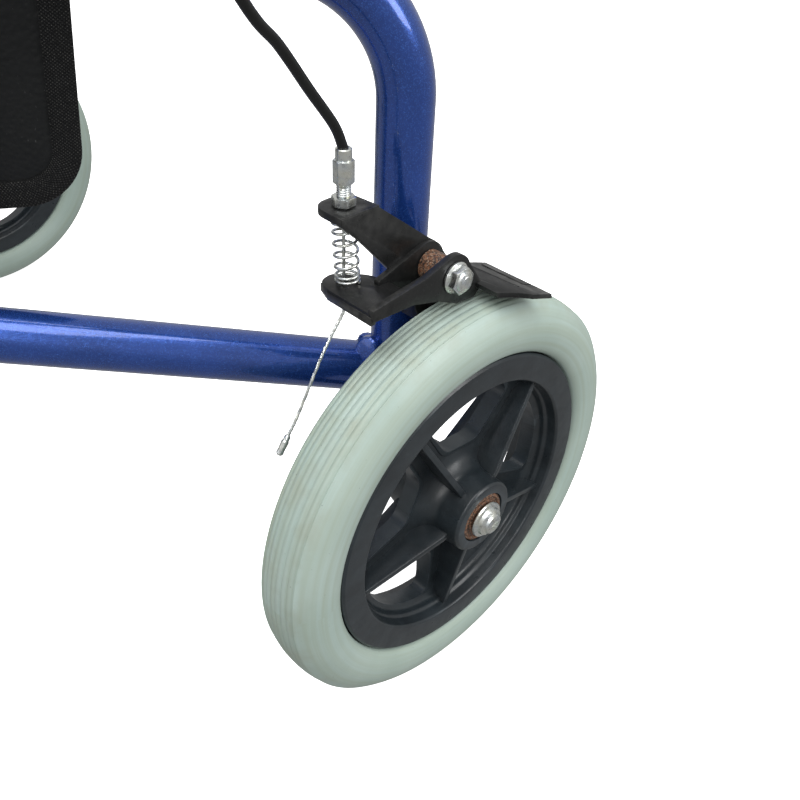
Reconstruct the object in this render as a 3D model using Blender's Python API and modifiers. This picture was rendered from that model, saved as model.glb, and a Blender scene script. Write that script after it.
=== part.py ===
"""Folding three-wheel walking frame (rollator): V-shaped tube frame, castor, brakes, bag.

Metres, +Z up, +X is the walker's left, -Y is the castor end, +Y is the user's end.
Design coordinates have y = 0 at the rear axles; the root empty shifts the whole
object so that the middle of its footprint is the origin.
"""
import math

import bmesh
import bpy
from mathutils import Matrix, Vector

# ---------------------------------------------------------------- driving dimensions
GAP = 0.0003                 # space left between pieces that touch
TUBE_R = 0.011               # frame tube outer radius
TUBE_WALL = 0.0015
SIDES = 12                   # facets round a tube
WHEEL_R = 0.100              # 8 inch wheels, all three
TYRE_HALF = 0.016
TRACK_HALF = 0.254           # rear wheel centre plane to the middle plane
UPRIGHT_IN = 0.037           # wheel centre plane to upright axis
RING_R = 0.076               # rim face, outer edge
RING_IN = 0.063              # rim face, inner edge
RING_HALF = 0.013
HUB_R = 0.0175
HUB_HALF = 0.0215
RIBS = 5
RIB_PHASE = math.radians(120.5)
SPLAY = math.radians(32.9)   # side frame plane against the walking direction
POST_S = 0.3406              # upright to hinge post, along the side frame
BAR_Z0 = 0.150               # lower bar axis height at the upright
BAR_SLOPE = 0.206
BAR_KINK_S = 0.195
UPRIGHT_LOW = 0.086
BEND_START_Z = 0.2686
BEND_R = 0.0507
BEND_ANGLE = math.radians(75)
SLEEVE_BORE = TUBE_R + 0.0004    # the handle tube slides in it
SLEEVE_R = SLEEVE_BORE + 0.0012
SLEEVE_LEAN = math.radians(12)
SLEEVE_TOP_Z = 0.560
HANDLE_LOW_Z = 0.430
GRIP_Z = 0.880
GRIP_R = TUBE_R + 0.0045
GRIP_END_Y = 0.116
HANDLE_BEND_R = 0.045
COLUMN_Y = -0.330
COLUMN_R = 0.016
TRAIL = 0.045
CAP_FLAT_R = 0.012           # flat top of the column cap
CAP_H = 0.0085
CROWN_Z = 2 * WHEEL_R + 0.004    # the castor tyre runs under the fork crown
PLATE_Z = CROWN_Z + 0.0095
PLATE_T = 0.004
POST_TOP_Z = 0.425
BOLT_R = 0.004
GUIDE_Z = PLATE_Z + 0.0297
BAR_POST_Z = PLATE_Z + 0.0245    # lower bar axis height at the hinge post
LINK_LEN = 0.115
LINK_ARM = 0.120
PIN_X = 0.0095
BRACKET_X = (-0.0181, -0.0164)   # from the wheel centre plane
BRAKE_Z = 2 * WHEEL_R - 0.100    # the brakes keep their place over the tread
PIVOT_Y = -0.0085
PIVOT_Z = 0.115              # above the rear axle
CABLE_X = -0.024             # from the wheel centre plane
CABLE_Y = -0.042
SPRING_TURNS = 7
HOUSING_R = 0.00275
TAB_TOP = 0.145              # cable tab, above the rear axle
TAB_T = 0.003
FOOT_Z = 0.1115              # lever foot, above the rear axle
FOOT_T = 0.003
BAG_BOTTOM = 0.214
BAG_TOP = 0.345
BAG_BACK_Y = -0.078
BAG_FRONT_Y = -0.206
BAG_BACK_X = 0.104
BAG_FRONT_X = 0.032
BAG_WALL = 0.0022

POST_X = TRACK_HALF - UPRIGHT_IN - POST_S * math.sin(SPLAY)
POST_Y = -POST_S * math.cos(SPLAY)
FRONT_Y = COLUMN_Y + TRAIL - WHEEL_R
LINK_X = POST_X + LINK_ARM * math.sin(SPLAY)
SLIDER_Y = POST_Y + LINK_ARM * math.cos(SPLAY) - math.sqrt(LINK_LEN ** 2 - (LINK_X - PIN_X) ** 2)
Y_SHIFT = -(FRONT_Y + GRIP_END_Y) / 2

# ---------------------------------------------------------------- scene helpers
for old in list(bpy.data.objects):
    bpy.data.objects.remove(old, do_unlink=True)

parts = bpy.data.collections.new("rollator")
cutters = bpy.data.collections.new("cutters")
bpy.context.scene.collection.children.link(parts)
bpy.context.scene.collection.children.link(cutters)

PALETTE = {
    "frame_paint": ((0.014, 0.030, 0.130), 0.35, 0.28),
    "black_paint": ((0.012, 0.012, 0.013), 0.1, 0.35),
    "tyre_grey": ((0.400, 0.480, 0.410), 0.0, 0.6),
    "rim_plastic": ((0.030, 0.033, 0.040), 0.0, 0.35),
    "zinc": ((0.55, 0.58, 0.60), 1.0, 0.32),
    "chrome": ((0.75, 0.76, 0.78), 1.0, 0.12),
    "black_plastic": ((0.015, 0.015, 0.016), 0.0, 0.45),
    "grip_rubber": ((0.020, 0.020, 0.021), 0.0, 0.75),
    "bronze": ((0.20, 0.11, 0.06), 0.8, 0.5),
    "cable_black": ((0.012, 0.012, 0.012), 0.0, 0.3),
    "bag_vinyl": ((0.015, 0.016, 0.016), 0.0, 0.5),
}
PIVOTS = {}
NODES = {}


def material(name, slot):
    colour, metallic, rough = PALETTE[slot]
    mat = bpy.data.materials.new(name + "_" + slot)
    mat.use_nodes = True
    shader = mat.node_tree.nodes["Principled BSDF"]
    shader.inputs["Base Color"].default_value = (*colour, 1)
    shader.inputs["Metallic"].default_value = metallic
    shader.inputs["Roughness"].default_value = rough
    return mat


def pivot(name, at, parent=None):
    """An empty on a joint axis; `at` is in design coordinates."""
    empty = bpy.data.objects.new(name, None)
    empty.empty_display_size = 0.02
    parts.objects.link(empty)
    home = Vector(at)
    if parent is None:
        empty.location = home
    else:
        empty.parent = PIVOTS[parent][0]
        empty.location = home - PIVOTS[parent][1]
    PIVOTS[name] = (empty, home)
    return empty


def mesh_object(name, bm):
    data = bpy.data.meshes.new(name)
    bm.to_mesh(data)
    bm.free()
    obj = bpy.data.objects.new(name, data)
    parts.objects.link(obj)
    return obj


def settle(obj, name, slot, home, side=1):
    """Name a finished piece, mirror it for the right side and hang it on its pivot."""
    empty, at = PIVOTS[home]
    obj.name = name
    obj.data.name = name
    if side < 0:
        obj.data.transform(Matrix.Scale(-1, 4, (1, 0, 0)))
        obj.data.flip_normals()
    obj.data.transform(Matrix.Translation(-at))
    obj.parent = empty
    obj.data.materials.clear()
    obj.data.materials.append(material(name, slot))
    obj.data.shade_smooth()
    obj.data.set_sharp_from_angle(angle=math.radians(35))
    NODES[name] = obj
    return obj


def apply_modifiers(obj):
    graph = bpy.context.evaluated_depsgraph_get()
    baked = bpy.data.meshes.new_from_object(obj.evaluated_get(graph))
    obj.modifiers.clear()
    obj.data = baked
    return obj


def boolean(obj, tool, operation="DIFFERENCE"):
    """Cut with, or join to, one closed tool; the tool is kept with the cutters."""
    mod = obj.modifiers.new("cut", "BOOLEAN")
    mod.operation = operation
    mod.solver = "EXACT"
    mod.object = tool
    bpy.context.view_layer.update()
    apply_modifiers(obj)
    if tool.name in parts.objects:
        parts.objects.unlink(tool)
        cutters.objects.link(tool)
    tool.hide_render = True
    tool.display_type = "WIRE"
    return obj


def cut(obj, *tools):
    for tool in tools:
        boolean(obj, tool)
    return obj


def unite(obj, *tools):
    for tool in tools:
        boolean(obj, tool, "UNION")
    return obj


# ---------------------------------------------------------------- shape helpers
def curve_object(name, dimensions):
    data = bpy.data.curves.new(name, "CURVE")
    data.dimensions = dimensions
    obj = bpy.data.objects.new(name, data)
    parts.objects.link(obj)
    return obj


def curve_to_mesh(curve):
    """The curve's own solid as a mesh object, its caps welded on."""
    name = curve.name
    bpy.context.view_layer.update()
    graph = bpy.context.evaluated_depsgraph_get()
    data = bpy.data.meshes.new_from_object(curve.evaluated_get(graph))
    obj = bpy.data.objects.new(name, data)
    parts.objects.link(obj)
    obj.matrix_world = curve.matrix_world
    bpy.data.objects.remove(curve, do_unlink=True)
    weld(obj)
    return obj


def weld(obj, flat=False):
    """Weld loose caps; with flat, also clear the edges inside flat faces."""
    bm = bmesh.new()
    bm.from_mesh(obj.data)
    bmesh.ops.remove_doubles(bm, verts=bm.verts, dist=1e-6)
    if flat:
        bmesh.ops.dissolve_limit(bm, angle_limit=math.radians(0.1), verts=bm.verts, edges=bm.edges)
    bmesh.ops.recalc_face_normals(bm, faces=bm.faces)
    bm.to_mesh(obj.data)
    bm.free()


def wire(name, points, radius, resolution):
    """Solid round bar along a path; 4 + 2 x resolution sides."""
    curve = curve_object(name, "3D")
    curve.data.bevel_depth = radius
    curve.data.bevel_resolution = resolution
    curve.data.use_fill_caps = True
    spline = curve.data.splines.new("POLY")
    spline.points.add(len(points) - 1)
    for knot, point in zip(spline.points, points):
        knot.co = (*point, 1)
    return curve_to_mesh(curve)


def extended(points, reach):
    first = Vector(points[0]) - (Vector(points[1]) - Vector(points[0])).normalized() * reach
    last = Vector(points[-1]) + (Vector(points[-1]) - Vector(points[-2])).normalized() * reach
    return [first, *[Vector(p) for p in points[1:-1]], last]


def tube(name, points, outer, inner, resolution=4):
    """Hollow tube along a path."""
    body = wire(name, points, outer, resolution)
    return cut(body, wire("bore", extended(points, 0.002), inner, resolution))


def turned(name, profile, centre, axis="Z", steps=16):
    """Screw modifier on a (radius, height) outline, closed unless it starts on the axis."""
    data = bpy.data.meshes.new(name)
    count = len(profile)
    edges = [(i, i + 1) for i in range(count - 1)]
    if profile[0][0] > 1e-7:
        edges.append((count - 1, 0))
    data.from_pydata([(r, 0, z) for r, z in profile], edges, [])
    obj = bpy.data.objects.new(name, data)
    parts.objects.link(obj)
    screw = obj.modifiers.new("turn", "SCREW")
    screw.steps = steps
    screw.render_steps = steps
    screw.use_merge_vertices = True
    screw.merge_threshold = 0.00001
    bpy.context.view_layer.update()
    apply_modifiers(obj)
    weld(obj, flat=True)
    return stand(obj, centre, axis)


def stand(obj, centre, axis):
    """Move a piece drawn along Z to its centre and axis."""
    turns = {"Z": Matrix.Identity(4), "X": Matrix.Rotation(math.radians(90), 4, "Y"),
             "Y": Matrix.Rotation(math.radians(-90), 4, "X")}
    if isinstance(axis, str):
        turn = turns[axis]
    else:
        turn = Vector((0, 0, 1)).rotation_difference(Vector(axis)).to_matrix().to_4x4()
    obj.data.transform(Matrix.Translation(Vector(centre)) @ turn)
    return obj


def rod(name, centre, axis, radius, low, high, steps=SIDES):
    bm = bmesh.new()
    place = Matrix.Translation((0, 0, (low + high) / 2))
    bmesh.ops.create_cone(bm, cap_ends=True, segments=steps, radius1=radius, radius2=radius,
                          depth=high - low, matrix=place)
    return stand(mesh_object(name, bm), centre, axis)


def washer(name, centre, axis, outer, inner, low, high, steps=SIDES):
    return turned(name, [(inner, high), (outer, high), (outer, low), (inner, low)], centre, axis, steps)


def slab(name, outline, low, high, plane="XY"):
    """Flat plate: a filled 2-D curve with thickness, drawn from low to high."""
    curve = curve_object(name, "2D")
    curve.data.fill_mode = "BOTH"
    curve.data.extrude = (high - low) / 2
    spline = curve.data.splines.new("POLY")
    spline.points.add(len(outline) - 1)
    for knot, (a, b) in zip(spline.points, outline):
        knot.co = (a, b, 0, 1)
    spline.use_cyclic_u = True
    obj = curve_to_mesh(curve)
    middle = (low + high) / 2
    stood = {"XY": Matrix(((1, 0, 0, 0), (0, 1, 0, 0), (0, 0, 1, middle), (0, 0, 0, 1))),
             "YZ": Matrix(((0, 0, 1, middle), (1, 0, 0, 0), (0, 1, 0, 0), (0, 0, 0, 1)))}[plane]
    obj.data.transform(stood)
    weld(obj, flat=True)
    return obj


def rounded(points, radius, steps=3):
    """Round the corners of a closed 2-D outline."""
    out = []
    count = len(points)
    for i in range(count):
        here = Vector(points[i])
        a = Vector(points[i - 1]) - here
        b = Vector(points[(i + 1) % count]) - here
        size = min(radius, a.length * 0.45, b.length * 0.45)
        start = here + a.normalized() * size
        end = here + b.normalized() * size
        for k in range(steps + 1):
            t = k / steps
            out.append(tuple(start * (1 - t) ** 2 + here * 2 * t * (1 - t) + end * t * t))
    return out


def moved(obj, matrix):
    obj.data.transform(matrix)
    return obj


def smooth_path(points, per_leg=4):
    """Catmull-Rom curve through the points."""
    points = [Vector(p) for p in points]
    ghost = [points[0] * 2 - points[1]] + points + [points[-1] * 2 - points[-2]]
    out = []
    for i in range(1, len(ghost) - 2):
        p0, p1, p2, p3 = ghost[i - 1:i + 3]
        for k in range(per_leg):
            t = k / per_leg
            out.append(0.5 * (2 * p1 + (p2 - p0) * t + (2 * p0 - 5 * p1 + 4 * p2 - p3) * t * t
                              + (3 * p1 - p0 - 3 * p2 + p3) * t ** 3))
    out.append(points[-1])
    return out


def corner_path(start, corner, end, radius, steps):
    """Straight, arc, straight through a corner."""
    start, corner, end = Vector(start), Vector(corner), Vector(end)
    into = (corner - start).normalized()
    out = (end - corner).normalized()
    angle = into.angle(out)
    reach = radius * math.tan(angle / 2)
    first = corner - into * reach
    side = (out - into * out.dot(into)).normalized()
    arc = []
    for k in range(steps + 1):
        a = angle * k / steps
        arc.append(first + into * radius * math.sin(a) + side * radius * (1 - math.cos(a)))
    return [start] + arc + [end]


# ---------------------------------------------------------------- side frame plane
def on_frame(s, z, off=0.0):
    """Left side frame: s runs forward from the upright, off is outward."""
    x = TRACK_HALF - UPRIGHT_IN - s * math.sin(SPLAY) + off * math.cos(SPLAY)
    y = -s * math.cos(SPLAY) - off * math.sin(SPLAY)
    return Vector((x, y, z))


FORWARD = Vector((-math.sin(SPLAY), -math.cos(SPLAY), 0))
OUTWARD = Vector((math.cos(SPLAY), -math.sin(SPLAY), 0))
SLEEVE_DIR = (Vector((0, 0, math.cos(SLEEVE_LEAN))) - FORWARD * math.sin(SLEEVE_LEAN)).normalized()
BAR_KINK_Z = BAR_Z0 + BAR_SLOPE * BAR_KINK_S
BEND_END_S = BEND_R * (1 - math.cos(BEND_ANGLE))
BEND_END_Z = BEND_START_Z + BEND_R * math.sin(BEND_ANGLE)
RAIL_SLOPE = math.cos(BEND_ANGLE) / math.sin(BEND_ANGLE)


def sleeve_s(z):
    return BAR_KINK_S - (z - BAR_KINK_Z) * math.tan(SLEEVE_LEAN)


def rail_z(s):
    return BEND_END_Z + RAIL_SLOPE * (s - BEND_END_S)


MEET_S = BEND_END_S
for _ in range(40):
    MEET_S = sleeve_s(rail_z(MEET_S))
MEET = on_frame(MEET_S, rail_z(MEET_S))
SIDE_SIGNS = (("l", 1), ("r", -1))


def mirrored(point, side):
    return Vector((point[0] * side, point[1], point[2]))


# ---------------------------------------------------------------- pivots
GRIP_X = on_frame(sleeve_s(GRIP_Z), GRIP_Z).x
LEVER_AT = Vector((GRIP_X, 0.009, GRIP_Z - 0.024))
NOSE_AT = Vector((GRIP_X + 0.0158, -0.010, GRIP_Z - 0.006))
LINK_AT = on_frame(POST_S - LINK_ARM, 0)
KNOB_Z = SLEEVE_TOP_Z - 0.022
KNOB_AT = on_frame(sleeve_s(KNOB_Z), KNOB_Z)

pivot("rollator_root", (0, 0, 0))
PIVOTS["rollator_root"][0].location = (0, Y_SHIFT, 0)
pivot("castor_swivel", (0, COLUMN_Y, 0), "rollator_root")
pivot("castor_spin", (0, COLUMN_Y + TRAIL, WHEEL_R), "castor_swivel")
pivot("fold_slide", (0, SLIDER_Y, GUIDE_Z), "rollator_root")
for tag, side in SIDE_SIGNS:
    pivot("fold_" + tag, (POST_X * side, POST_Y, 0), "rollator_root")
    pivot("spin_" + tag, (TRACK_HALF * side, 0, WHEEL_R), "fold_" + tag)
    pivot("brake_" + tag, ((TRACK_HALF - 0.010) * side, PIVOT_Y, BRAKE_Z + PIVOT_Z), "fold_" + tag)
    pivot("height_" + tag, mirrored(on_frame(sleeve_s(SLEEVE_TOP_Z), SLEEVE_TOP_Z), side), "fold_" + tag)
    pivot("lever_" + tag, mirrored(LEVER_AT, side), "height_" + tag)
    pivot("knob_" + tag, mirrored(KNOB_AT, side), "fold_" + tag)
    pivot("link_" + tag, mirrored(LINK_AT, side), "fold_" + tag)


# ---------------------------------------------------------------- wheels
def wheel(prefix, home, sign):
    """Tyre and spoked rim about an X axis through the pivot; sign is the outer side."""
    at = PIVOTS[home][1]
    section = [(WHEEL_R, -0.009), (WHEEL_R, 0.009), (WHEEL_R - 0.0030, 0.0130),
               (WHEEL_R - 0.009, 0.0155), (WHEEL_R - 0.017, TYRE_HALF), (RING_R + 0.003, 0.0145),
               (RING_R + GAP, 0.0120), (RING_R + GAP, -0.0120), (RING_R + 0.003, -0.0145),
               (WHEEL_R - 0.017, -TYRE_HALF), (WHEEL_R - 0.009, -0.0155), (WHEEL_R - 0.0030, -0.0130)]
    tyre = turned(prefix + "_tyre", section, at, "X", 32)
    settle(tyre, prefix + "_tyre", "tyre_grey", home)

    ring = turned(prefix + "_rim", [(RING_IN, -RING_HALF), (RING_R, -RING_HALF), (RING_R, RING_HALF),
                                    (RING_IN, RING_HALF), (RING_IN - 0.003, 0.004),
                                    (RING_IN - 0.003, -0.004)], (0, 0, 0), "X", 32)
    web = rod("web", (0, 0, 0), "X", RING_IN + 0.004, -0.0035, 0.0035, 16)
    windows = []
    for k in range(RIBS):
        middle = RIB_PHASE + (k + 0.5) * 2 * math.pi / RIBS
        half = math.pi / RIBS
        outline = [(0.030, 0.0), (0.040, -half * 0.52), (0.0575, -half * 0.62), (0.0605, 0.0),
                   (0.0575, half * 0.62), (0.040, half * 0.52)]
        points = [(r * math.cos(middle + a), r * math.sin(middle + a)) for r, a in outline]
        windows.append(slab("window", points, -0.01, 0.01, "YZ"))
    cut(web, *windows)
    hub = rod("hub", (0, 0, 0), "X", HUB_R, -HUB_HALF, HUB_HALF, 16)
    ribs = []
    for k in range(RIBS):
        angle = RIB_PHASE + k * 2 * math.pi / RIBS
        blade = slab("rib", [(-0.012, 0.012), (0.016, 0.012), (0.0095, RING_IN + 0.001),
                             (-0.0095, RING_IN + 0.001)], -0.0016, 0.0016)
        lift = Matrix(((1, 0, 0, 0), (0, 0, 1, 0), (0, 1, 0, 0), (0, 0, 0, 1)))
        moved(blade, Matrix.Rotation(angle - math.pi / 2, 4, "X") @ lift)
        ribs.append(blade)
    unite(ring, web, *ribs, hub)
    bore = rod("bore", (0, 0, 0), "X", 0.0122, -0.03, 0.03, 16)
    cut(ring, bore)
    if sign < 0:
        moved(ring, Matrix.Scale(-1, 4, (1, 0, 0)))
        ring.data.flip_normals()
    moved(ring, Matrix.Translation(at))
    settle(ring, prefix + "_rim", "rim_plastic", home)


for tag, side in SIDE_SIGNS:
    wheel("rear_" + tag, "spin_" + tag, side)
wheel("castor", "castor_spin", 1)


def bearings(name, home):
    """Bearing sleeve pressed in the hub."""
    at = PIVOTS[home][1]
    half = HUB_HALF - 0.0005
    obj = washer(name, at, "X", 0.0119, BOLT_R + 0.0004, -half, half, 16)
    settle(obj, name, "bronze", home)


bearings("castor_bearing", "castor_spin")
for tag, side in SIDE_SIGNS:
    bearings("rear_bearing_" + tag, "spin_" + tag)

# ---------------------------------------------------------------- castor fork
CROWN_TOP = CROWN_Z + 0.004
FORK_ARM_X = 0.027
arm_outline = [(COLUMN_Y - 0.017, CROWN_TOP), (COLUMN_Y + 0.017, CROWN_TOP),
               (COLUMN_Y + TRAIL + 0.013, WHEEL_R + 0.030), (COLUMN_Y + TRAIL + 0.013, WHEEL_R - 0.006),
               (COLUMN_Y + TRAIL + 0.006, WHEEL_R - 0.014), (COLUMN_Y + TRAIL - 0.006, WHEEL_R - 0.014),
               (COLUMN_Y + TRAIL - 0.013, WHEEL_R - 0.006), (COLUMN_Y + TRAIL - 0.018, WHEEL_R + 0.030)]
fork = slab("castor_fork", [(-FORK_ARM_X, COLUMN_Y - 0.017), (FORK_ARM_X, COLUMN_Y - 0.017),
                            (FORK_ARM_X, COLUMN_Y + 0.017), (-FORK_ARM_X, COLUMN_Y + 0.017)],
            CROWN_Z, CROWN_TOP)
arms = [slab("arm", arm_outline, FORK_ARM_X - 0.001, FORK_ARM_X + 0.0025, "YZ"),
        slab("arm", arm_outline, -FORK_ARM_X - 0.0025, -FORK_ARM_X + 0.001, "YZ")]
stem = rod("stem", (0, COLUMN_Y, 0), "Z", 0.006, CROWN_Z + 0.001, 0.290, 16)
unite(fork, *arms, stem)
cut(fork, rod("axle_hole", (0, COLUMN_Y + TRAIL, WHEEL_R), "X", BOLT_R + GAP, -0.04, 0.04, 16))
settle(fork, "castor_fork", "frame_paint", "castor_swivel")


def axle(name, home, slot_home, low, high, side=1):
    """Axle bolt with a domed head at the outer end and a nut at the inner end."""
    at = PIVOTS[home][1]
    head = [(0.0075, high), (0.0078, high + 0.0010), (0.0062, high + 0.0034),
            (0.0030, high + 0.0050), (0, high + 0.0054)]
    profile = [(0, low), (BOLT_R, low), (BOLT_R, high)] + head
    bolt = turned(name, profile, (0, at[1], at[2]), "X", 16)
    nut = rod("nut", (0, at[1], at[2]), "X", 0.0065, low + 0.0008, low + 0.0068, 6)
    unite(bolt, nut)
    if side < 0:
        moved(bolt, Matrix.Scale(-1, 4, (1, 0, 0)))
        bolt.data.flip_normals()
    moved(bolt, Matrix.Translation((at[0], 0, 0)))
    settle(bolt, name, "zinc", slot_home)


axle("castor_axle", "castor_spin", "castor_swivel", -0.0375, FORK_ARM_X + 0.0028)
for tag, side in SIDE_SIGNS:
    axle("rear_axle_" + tag, "spin_" + tag, "fold_" + tag, -0.0565, HUB_HALF + 0.0009, side)

# ---------------------------------------------------------------- front column and head
BUSH_LOW = CROWN_TOP + GAP
COLUMN_LOW = BUSH_LOW + 0.0025 + GAP
COLUMN_TOP = POST_TOP_Z + 0.0005 + PLATE_T + 0.004
column = turned("front_column", [(0.0130, COLUMN_LOW), (COLUMN_R, COLUMN_LOW),
                                 (COLUMN_R, COLUMN_TOP), (0.0130, COLUMN_TOP)], (0, COLUMN_Y, 0), "Z", 16)
settle(column, "front_column", "frame_paint", "rollator_root")
bush = turned("castor_bush", [(0.00615, BUSH_LOW), (0.0150, BUSH_LOW), (0.0150, BUSH_LOW + 0.0025),
                              (0.0127, BUSH_LOW + 0.0025), (0.0127, 0.2950), (0.00615, 0.2950)],
              (0, COLUMN_Y, 0), "Z", 16)
settle(bush, "castor_bush", "black_plastic", "rollator_root")
cap = turned("column_cap", [(0, COLUMN_TOP + GAP), (COLUMN_R + 0.001, COLUMN_TOP + GAP),
                            (COLUMN_R + 0.001, COLUMN_TOP + 0.004), (CAP_FLAT_R, COLUMN_TOP + CAP_H),
                            (0, COLUMN_TOP + CAP_H)], (0, COLUMN_Y, 0), "Z", 16)
plug = rod("plug", (0, COLUMN_Y, 0), "Z", 0.0125, COLUMN_TOP - 0.012, COLUMN_TOP + 0.002, 16)
unite(cap, plug)
settle(cap, "column_cap", "black_plastic", "rollator_root")

PLATE_TOP = PLATE_Z + PLATE_T
UPPER_Z = POST_TOP_Z + 0.0005


def head_plate(name, low):
    reach = 0.013
    outline = [(-POST_X - reach, POST_Y + reach * 0.7), (-POST_X - reach, POST_Y - reach * 0.6),
               (-COLUMN_R - 0.008, COLUMN_Y - 0.010), (-0.012, COLUMN_Y - COLUMN_R - 0.008),
               (0.012, COLUMN_Y - COLUMN_R - 0.008), (COLUMN_R + 0.008, COLUMN_Y - 0.010),
               (POST_X + reach, POST_Y - reach * 0.6), (POST_X + reach, POST_Y + reach * 0.7)]
    plate = slab(name, rounded(outline, 0.010, 2), low, low + PLATE_T)
    tools = [rod("hole", (0, COLUMN_Y, 0), "Z", COLUMN_R + GAP, low - 0.01, low + 0.01, 16)]
    for sign in (1, -1):
        tools.append(rod("hole", (POST_X * sign, POST_Y, 0), "Z", BOLT_R + GAP, low - 0.01, low + 0.01, 12))
    cut(plate, *tools)
    settle(plate, name, "frame_paint", "rollator_root")


head_plate("head_plate_lower", PLATE_Z)
head_plate("head_plate_upper", UPPER_Z)

for tag, side in SIDE_SIGNS:
    top = UPPER_Z + PLATE_T
    bolt = turned("bolt", [(0, PLATE_Z - 0.0043), (0.0065, PLATE_Z - 0.0043), (0.0070, PLATE_Z - GAP),
                           (BOLT_R, PLATE_Z - GAP), (BOLT_R, top + 0.0085), (0, top + 0.0085)],
                  (POST_X, POST_Y, 0), "Z", 12)
    nut = rod("nut", (POST_X, POST_Y, 0), "Z", 0.0068, top + GAP, top + 0.0065, 6)
    unite(bolt, nut)
    settle(bolt, "hinge_bolt_" + tag, "zinc", "rollator_root", side)

# ---------------------------------------------------------------- fold guide and slider
GUIDE_FRONT = COLUMN_Y + COLUMN_R + GAP
GUIDE_BACK = SLIDER_Y + 0.022
guide = slab("fold_guide_bar", [(-0.006, GUIDE_FRONT), (0.006, GUIDE_FRONT),
                                (0.006, GUIDE_BACK), (-0.006, GUIDE_BACK)],
             GUIDE_Z - 0.003, GUIDE_Z + 0.003)
settle(guide, "fold_guide_bar", "black_paint", "rollator_root")
STOP = 0.0005
slider = slab("fold_slider", [(-0.017, SLIDER_Y - 0.010), (0.017, SLIDER_Y - 0.010),
                              (0.017, SLIDER_Y + 0.010), (-0.017, SLIDER_Y + 0.010)],
              GUIDE_Z - 0.0085, GUIDE_Z + 0.0070)
channel = slab("channel", [(-0.006 - STOP, SLIDER_Y - 0.03), (0.006 + STOP, SLIDER_Y - 0.03),
                           (0.006 + STOP, SLIDER_Y + 0.03), (-0.006 - STOP, SLIDER_Y + 0.03)],
               GUIDE_Z - 0.003 - STOP, GUIDE_Z + 0.003 + STOP)
cut(slider, channel)
LINK_TOP = GUIDE_Z - 0.0095
LINK_LOW = LINK_TOP - 0.0025
unite(slider, *[rod("pin", (PIN_X * sign, SLIDER_Y, 0), "Z", 0.0022, LINK_LOW - 0.0006, GUIDE_Z - 0.008, 12)
                for sign in (1, -1)])
settle(slider, "fold_slider", "black_plastic", "fold_slide")

for tag, side in SIDE_SIGNS:
    target = Vector((PIN_X, SLIDER_Y, 0))
    run = target - Vector((LINK_AT.x, LINK_AT.y, 0))
    length = run.length
    bearing = math.atan2(run.y, run.x)
    half = 0.0065
    outline = []
    for centre, start in ((0.0, math.pi / 2), (length, -math.pi / 2)):
        for k in range(7):
            angle = start + math.pi * k / 6
            grow = half * (1.0 if centre == 0 else 1.2)
            outline.append((centre + grow * math.cos(angle), grow * math.sin(angle)))
    bar = slab("link", outline, LINK_LOW, LINK_TOP)
    eye = rod("eye", (0, 0, 0), "Z", 0.0031, 0.1, 0.3, 12)
    slot = rod("slot", (length, 0, 0), "Z", 0.0044, 0.1, 0.3, 12)
    cut(bar, eye, slot)
    moved(bar, Matrix.Translation((LINK_AT.x, LINK_AT.y, 0)) @ Matrix.Rotation(bearing, 4, "Z"))
    settle(bar, "fold_link_" + tag, "zinc", "link_" + tag, side)

# ---------------------------------------------------------------- side frames
WALL_R = TUBE_R - TUBE_WALL


def bar_path(extra_low=0.0, extra_high=0.0):
    kink = on_frame(BAR_KINK_S, BAR_KINK_Z)
    start = on_frame(-extra_low, BAR_Z0 - BAR_SLOPE * extra_low)
    slope = (BAR_POST_Z - BAR_KINK_Z) / (POST_S - BAR_KINK_S)
    end = on_frame(POST_S + extra_high, BAR_POST_Z + slope * extra_high)
    return corner_path(start, kink, end, 0.18, 2)


def bar_z(s):
    """Height of the lower bar's axis."""
    if s < BAR_KINK_S:
        return BAR_Z0 + BAR_SLOPE * s
    return BAR_KINK_Z + (BAR_POST_Z - BAR_KINK_Z) * (s - BAR_KINK_S) / (POST_S - BAR_KINK_S)


def upright_cutter(radius):
    return rod("coper", on_frame(0, 0), "Z", radius, 0.05, BEND_START_Z, SIDES)


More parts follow.
